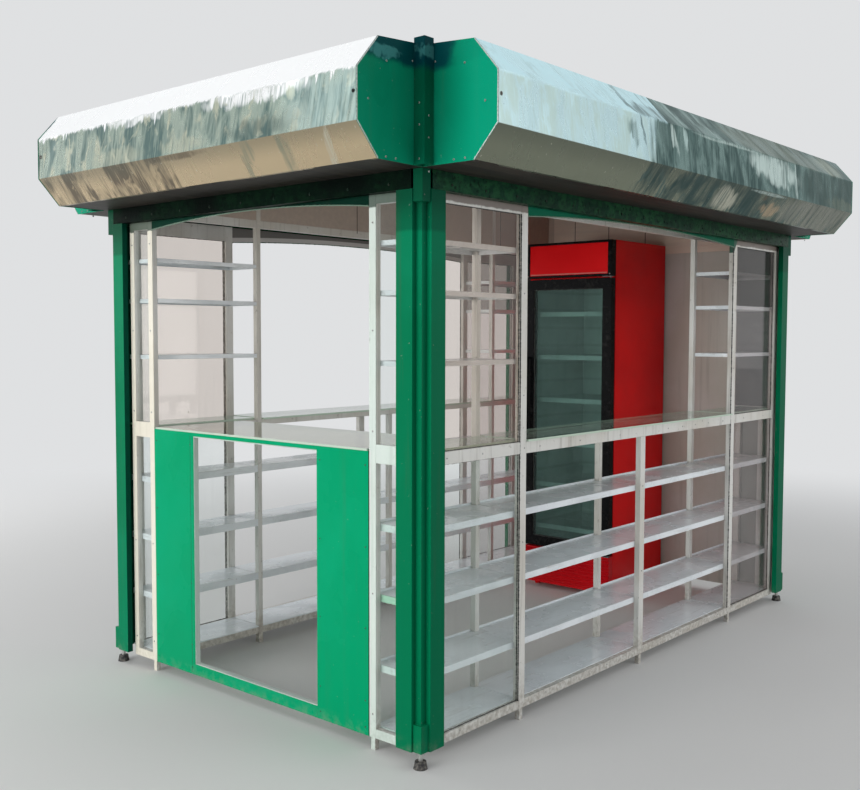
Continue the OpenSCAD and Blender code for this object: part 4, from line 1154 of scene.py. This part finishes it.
# Entry panel: a board faced with green sheet. The facing is in pieces round the doorway, screwed along its
# edges, with a bead on the far jamb and pale strips along the sill and the head.
PANEL_GREEN = (0.001, 0.335, 0.142)
PANEL_FADED = (0.002, 0.370, 0.170)
TRIM_PALE = (0.58, 0.66, 0.60)
TRIM_FADED = (0.50, 0.58, 0.54)
FACING = 0.0009
SEAM = 0.0012
JAMB_BEAD = 0.022
panel_low, panel_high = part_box("entry_panel")
trim_low, trim_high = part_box("doorway_trim")
near, far, sill, head = trim_low.y, trim_high.y, trim_low.z, trim_high.z
foot, top = panel_low.z + 0.003, panel_high.z - 0.001


def on_panel(out, y0, z0, y1, z1):
    """A thin block on the panel's outer face, out proud of it."""
    return (panel_low.x - out, y0, z0), (panel_low.x + 0.001, y1, z1)


panel_paint = enamel("bright green panel paint", PANEL_GREEN, PANEL_FADED, gloss=0.26, runs=0.10, dust_top=0.10,
                     ripple=0.012)
eased("entry_panel", 0.0015, panel_paint)
boxes_mesh("entry_facings", [on_panel(FACING, *span) for span in (
    (panel_low.y + 0.003, foot, near - SEAM, top), (far + JAMB_BEAD, foot, panel_high.y - 0.003, top),
    (far + 0.004, sill, far + JAMB_BEAD - 0.002, head), (near, foot, far + 0.003, sill - 0.001),
    (near, head + 0.001, far + 0.003, top))], panel_paint, edge=0.0004)
# Painted shade: dark strips in the gaps beside the panel's near edge and beside the jamb bead.
boxes_mesh("panel_gap_shade", [on_panel(0.0005, panel_low.y + 0.0002, foot, panel_low.y + 0.0026, top),
                         on_panel(0.0004, far + JAMB_BEAD - 0.002, sill, far + JAMB_BEAD, head)],
           joint_and_gap_shade)
panel_spots = [((panel_low.x - FACING, y, z), (-1, 0, 0))
               for y in (panel_low.y + 0.018, near - 0.018, far + 0.020, panel_high.y - 0.018)
               for z in (0.075, 0.170, 0.430, 0.720, 1.010)]
set_screws("panel_screws", panel_spots, 0.0034, metal("painted screw", (0.004, 0.20, 0.09), 0.4, 0.2),
           seed=31)
pale_trim = enamel("pale trim paint", TRIM_PALE, TRIM_FADED, gloss=0.4, dust_top=0.12, scuffs=0.5, sheen=WHITE_SHEEN)
eased("doorway_trim", 0.0006, pale_trim)


# Valances: thin green sheets under the beams, cut to a shallow arch, with the raw edge rolled over a wire.
# The spray is thin along that edge, so it reads lighter than the sheet.
VALANCE_GREEN = (0.003, 0.095, 0.050)
VALANCE_FADED = (0.004, 0.13, 0.07)
VALANCE_DARK = (0.002, 0.020, 0.012)
VALANCE_WORN = (0.003, 0.034, 0.020)
VALANCE_EDGE = (0.160, 0.240, 0.180)
VALANCE_EDGE_FADED = (0.22, 0.30, 0.24)
VALANCE_INNER_SHADE = (0.20, 0.185, 0.175)
VALANCE_BAND = (0.62, 0.59, 0.57)
VALANCE_STEPS = 40
BAND_WIDTH = 0.022
arch_low, arch_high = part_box("valance_front")
long_half = arch_high.x
short_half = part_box("valance_left")[1].y
crown = beam_low.z - 0.002


def valance_sheet(name, colour, faded):
    """Green outside. Inside, a band of pale bare primer along the arched lower edge, with painted shade in dark
    grey above it.
    """
    p = enamel(name, colour, faded, gloss=0.35, runs=0.2, scuffs=0.5)
    inside = (p.x > side_low.x + 0.001) * (abs(p.y) < FACE_Y - 0.001)
    over_edge = p.z + (p.x / long_half) ** 2.0 * (crown - arch_low.z) - crown
    # Painted shade on the inner face, above the pale band.
    p.coat(inside, tint(rise(over_edge, BAND_WIDTH, BAND_WIDTH + 0.002), VALANCE_BAND, VALANCE_INNER_SHADE))
    return p


def arch_points(half, place):
    """Points along an arch from one end, where it is low, over its crown."""
    lift = crown - arch_low.z
    radius = (half * half + lift * lift) / (2 * lift)
    most = math.asin(half / radius)
    turns = [-most + 2 * most * k / VALANCE_STEPS for k in range(VALANCE_STEPS + 1)]
    return [place(radius * math.sin(turn), crown + radius * (math.cos(turn) - 1)) for turn in turns]


valance_paint = valance_sheet("valance paint", VALANCE_GREEN, VALANCE_FADED)
dress("valance_front", valance_paint)
dress("valance_back", valance_paint)
dress("valance_left", valance_sheet("dark valance paint", VALANCE_DARK, VALANCE_WORN))
arches = [arch_points(long_half, lambda a, z: (a, side * (FACE_Y - 0.001), z)) for side in ENDS]
arches.append(arch_points(short_half, lambda a, z: (side_low.x + 0.001, a, z)))
thin_spray = enamel("thin green spray", VALANCE_EDGE, VALANCE_EDGE_FADED, gloss=0.4, runs=0.1, scuffs=0.5)
lay_beads("valance_edges", arches, 0.0024, thin_spray)


# Right wall: one pale sheet outside its white frame, slightly buckled, and grey with handling. Painted shade
# darkens its inner face at the front end, behind the front showcase.
WALL = (0.42, 0.400, 0.345)
WALL_GREY = (0.50, 0.49, 0.46)
END_SHADE = -0.645
wall_low, wall_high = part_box("right_wall_sheet")


def wall_enamel():
    p = Paint("pale wall sheet", WALL, rough=0.34)
    p.cloud(WALL_GREY, 1.6, 0.38, 0.66, detail=5)
    p.cloud(GRIME_AND_SHADE, 22, 0.55, 0.80, 0.0, 0.35, stretch=(1, 1, 0.05), detail=4)
    p.coat(rise(p.z, 0.05, 0.40, 0.5, 0.0) * p.noise(40, detail=5), DUST)
    # Painted shade: the inner face darkens towards its front end, behind the front showcase.
    inner = p.x < (wall_low.x + wall_high.x) / 2
    p.coat(rise(p.y, END_SHADE - 0.02, END_SHADE, 0.55, 0.0) * inner, GRIME_AND_SHADE)
    p.relief(p.noise(2.2, detail=1), 0.010)
    return p


dress("right_wall_sheet", wall_enamel())


# Cooler: a red enamelled cabinet with a pale liner, a black framed header, a louvred grille and white wire
# shelves. It stands on its own feet against the right wall.
COOLER_RED = (0.80, 0.004, 0.006)
COOLER_DEEP = (0.70, 0.002, 0.005)
HEADER_RED = (0.80, 0.006, 0.009)
HEADER_DEEP = (0.74, 0.004, 0.007)
GRILLE_RED = (0.66, 0.010, 0.016)
GRILLE_DEEP = (0.56, 0.006, 0.012)
EDGE_RED = (0.62, 0.22, 0.19)
EDGE_RED_FADED = (0.50, 0.10, 0.09)
RED_SHEEN = (1.0, 0.25, 0.25)
SCUFF_RED = (0.30, 0.10, 0.09)
LINER = (0.58, 0.64, 0.62)
LINER_RIB = (0.30, 0.34, 0.33)
COOLER_BLACK = (0.003, 0.003, 0.0035)
WIRE_WHITE = (0.60, 0.63, 0.62)
WIRE_DULL = (0.52, 0.55, 0.55)
CABINET_EDGE = 0.007
WALL_IN = 0.0395
RACKS = 6
cabinet_low, cabinet_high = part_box("cooler_cabinet")


def cooler_red(name, colour, deep, inside=False):
    """Red gloss enamel over a folded sheet, with a pale plastic liner where the cabinet is hollow."""
    p = Paint(name, colour, gleam=0.35, sheen=RED_SHEEN, rough=0.30)
    p.cloud(deep, 2.8, 0.40, 0.65, detail=4)
    p.cloud(SCUFF_RED, 48, 0.66, 0.70, 0.0, 0.35, detail=6, rough=0.7)
    if inside:
        share = 1.0
        for place, low, high in ((p.x, cabinet_low.x + 0.0005, cabinet_high.x - 0.030),
                                 (p.y, cabinet_low.y + WALL_IN, cabinet_high.y - WALL_IN), (p.z, 0.262, 1.760)):
            share = share * (place > low) * (place < high)
        wave = node(p.tree, "ShaderNodeTexWave", {"Scale": 6.0}, "Fac", bands_direction="Z")
        p.coat(share, tint(rise(wave, 0.90, 0.97, 0.0, 0.35), LINER, LINER_RIB))
    p.relief(p.noise(3.0, detail=1), 0.004)
    return p


def gloss_black(name):
    p = Paint(name, COOLER_BLACK, gleam=0.12)
    dusty = p.cloud(DUST, 30, 0.50, 0.80, 0.0, 0.04, detail=5)
    p.set(rough=rise(dusty, 0, 0.04, 0.24, 0.44))
    return p


eased("cooler_cabinet", CABINET_EDGE, cooler_red("red cabinet enamel", COOLER_RED, COOLER_DEEP, inside=True),
      segments=3)
eased("cooler_header", 0.003, gloss_black("black trim"))
eased("cooler_header_panel", 0.002, cooler_red("red header panel", HEADER_RED, HEADER_DEEP))
eased("cooler_grille", 0.0015, cooler_red("red grille paint", GRILLE_RED, GRILLE_DEEP))
sign_low, sign_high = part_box("cooler_header_panel")
edge_paint = enamel("faded edge paint", EDGE_RED, EDGE_RED_FADED, runs=0.1, scuffs=0.5, sheen=WHITE_SHEEN)
boxes_mesh("header_lower_edge", [((sign_low.x - 0.0004, sign_low.y + 0.004, sign_low.z + 0.003),
                                  (sign_low.x + 0.001, sign_high.y - 0.004, sign_low.z + 0.009))],
           edge_paint)


def rack_tree():
    """A wire shelf on each point: rods from front to back, cross rods under them and a strip along the front."""
    tree, given = geometry_tree("wire shelves", Wide=0.49, Deep=0.47, Rods=23, Rod=0.0016, Wire=None)
    wide, deep = given["Wide"], given["Deep"]

    def rods(count, length, turn, across, start, step, lower):
        rod = node(tree, "GeometryNodeMeshCylinder", {"Vertices": 6, "Radius": given["Rod"], "Depth": length})
        line = node(tree, "GeometryNodeMeshLine", {
            "Count": count, "Start Location": vector(tree, **{across: start, "Z": lower}),
            "Offset": vector(tree, **{across: step})})
        return node(tree, "GeometryNodeInstanceOnPoints", {"Points": line, "Instance": moved(rod, Rotation=turn)})

    back = deep * -0.49
    long = rods(given["Rods"], deep, (0.0, math.pi / 2, 0.0), "Y", wide * -0.5, wide / (given["Rods"] - 1.0), 0.004)
    cross = rods(3, wide, (math.pi / 2, 0.0, 0.0), "X", back, deep * 0.49, 0.0008)
    strip = node(tree, "GeometryNodeMeshCube", {"Size": vector(tree, X=0.0015, Y=wide, Z=0.026)})
    front = moved(strip, Translation=vector(tree, X=back, Z=-0.008))
    shelves = on_points(given, joined([long, cross, front]))
    node(tree, "NodeGroupOutput", {0: painted(shelves, given["Wire"])})
    return tree


rack_low, rack_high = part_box("cooler_shelf_set")
rack_mid = (rack_low + rack_high) / 2
rack_pitch = (rack_high.z - rack_low.z - 0.0075) / (RACKS - 1)
racks = from_points("wire_shelves", [(rack_mid.x, rack_mid.y, rack_low.z + k * rack_pitch) for k in range(RACKS)])
wire_paint = enamel("white wire coating", WIRE_WHITE, WIRE_DULL, gloss=0.35, runs=0.0, sheen=WHITE_SHEEN)
run_tree(racks, rack_tree(), Wide=rack_high.y - rack_low.y, Deep=rack_high.x - rack_low.x,
         Wire=wire_paint.material)
join_object(racks, replaced=["cooler_shelf_set"])
dress("cooler_hinges", metal("hinge steel", (0.22, 0.22, 0.23), 0.35))
header_low, header_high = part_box("cooler_header")
header_spots = [((header_low.x, y, header_low.z + 0.012), (-1, 0, 0))
                for y in (header_low.y + 0.013, header_high.y - 0.013)]
set_screws("header_screws", header_spots, 0.004, zinc_screw)


# Cooler door: a black frame with a bar handle, round dark double glass that sits in a rubber seal.
# It turns on the two hinges at its near edge.
DOOR_GLASS = (0.74, 0.86, 0.83)
DOOR_FILM = (0.10, 0.20, 0.18)
eased("cooler_door_frame", 0.0025, gloss_black("black door frame"), body="cooler_door")
dress("cooler_door_glass", glazing("dark door glass", DOOR_GLASS, 0.12, 0.08, rough=0.03, film=DOOR_FILM))
glass_low, glass_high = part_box("cooler_door_glass")
y0, z0, y1, z1 = glass_low.y, glass_low.z, glass_high.y, glass_high.z
seal = [(glass_low.x - 0.001, y, z) for y, z in ((y0, z0), (y1, z0), (y1, z1), (y0, z1), (y0, z0))]
lay_beads("door_seal", [seal], 0.004, sealant, "cooler_door")
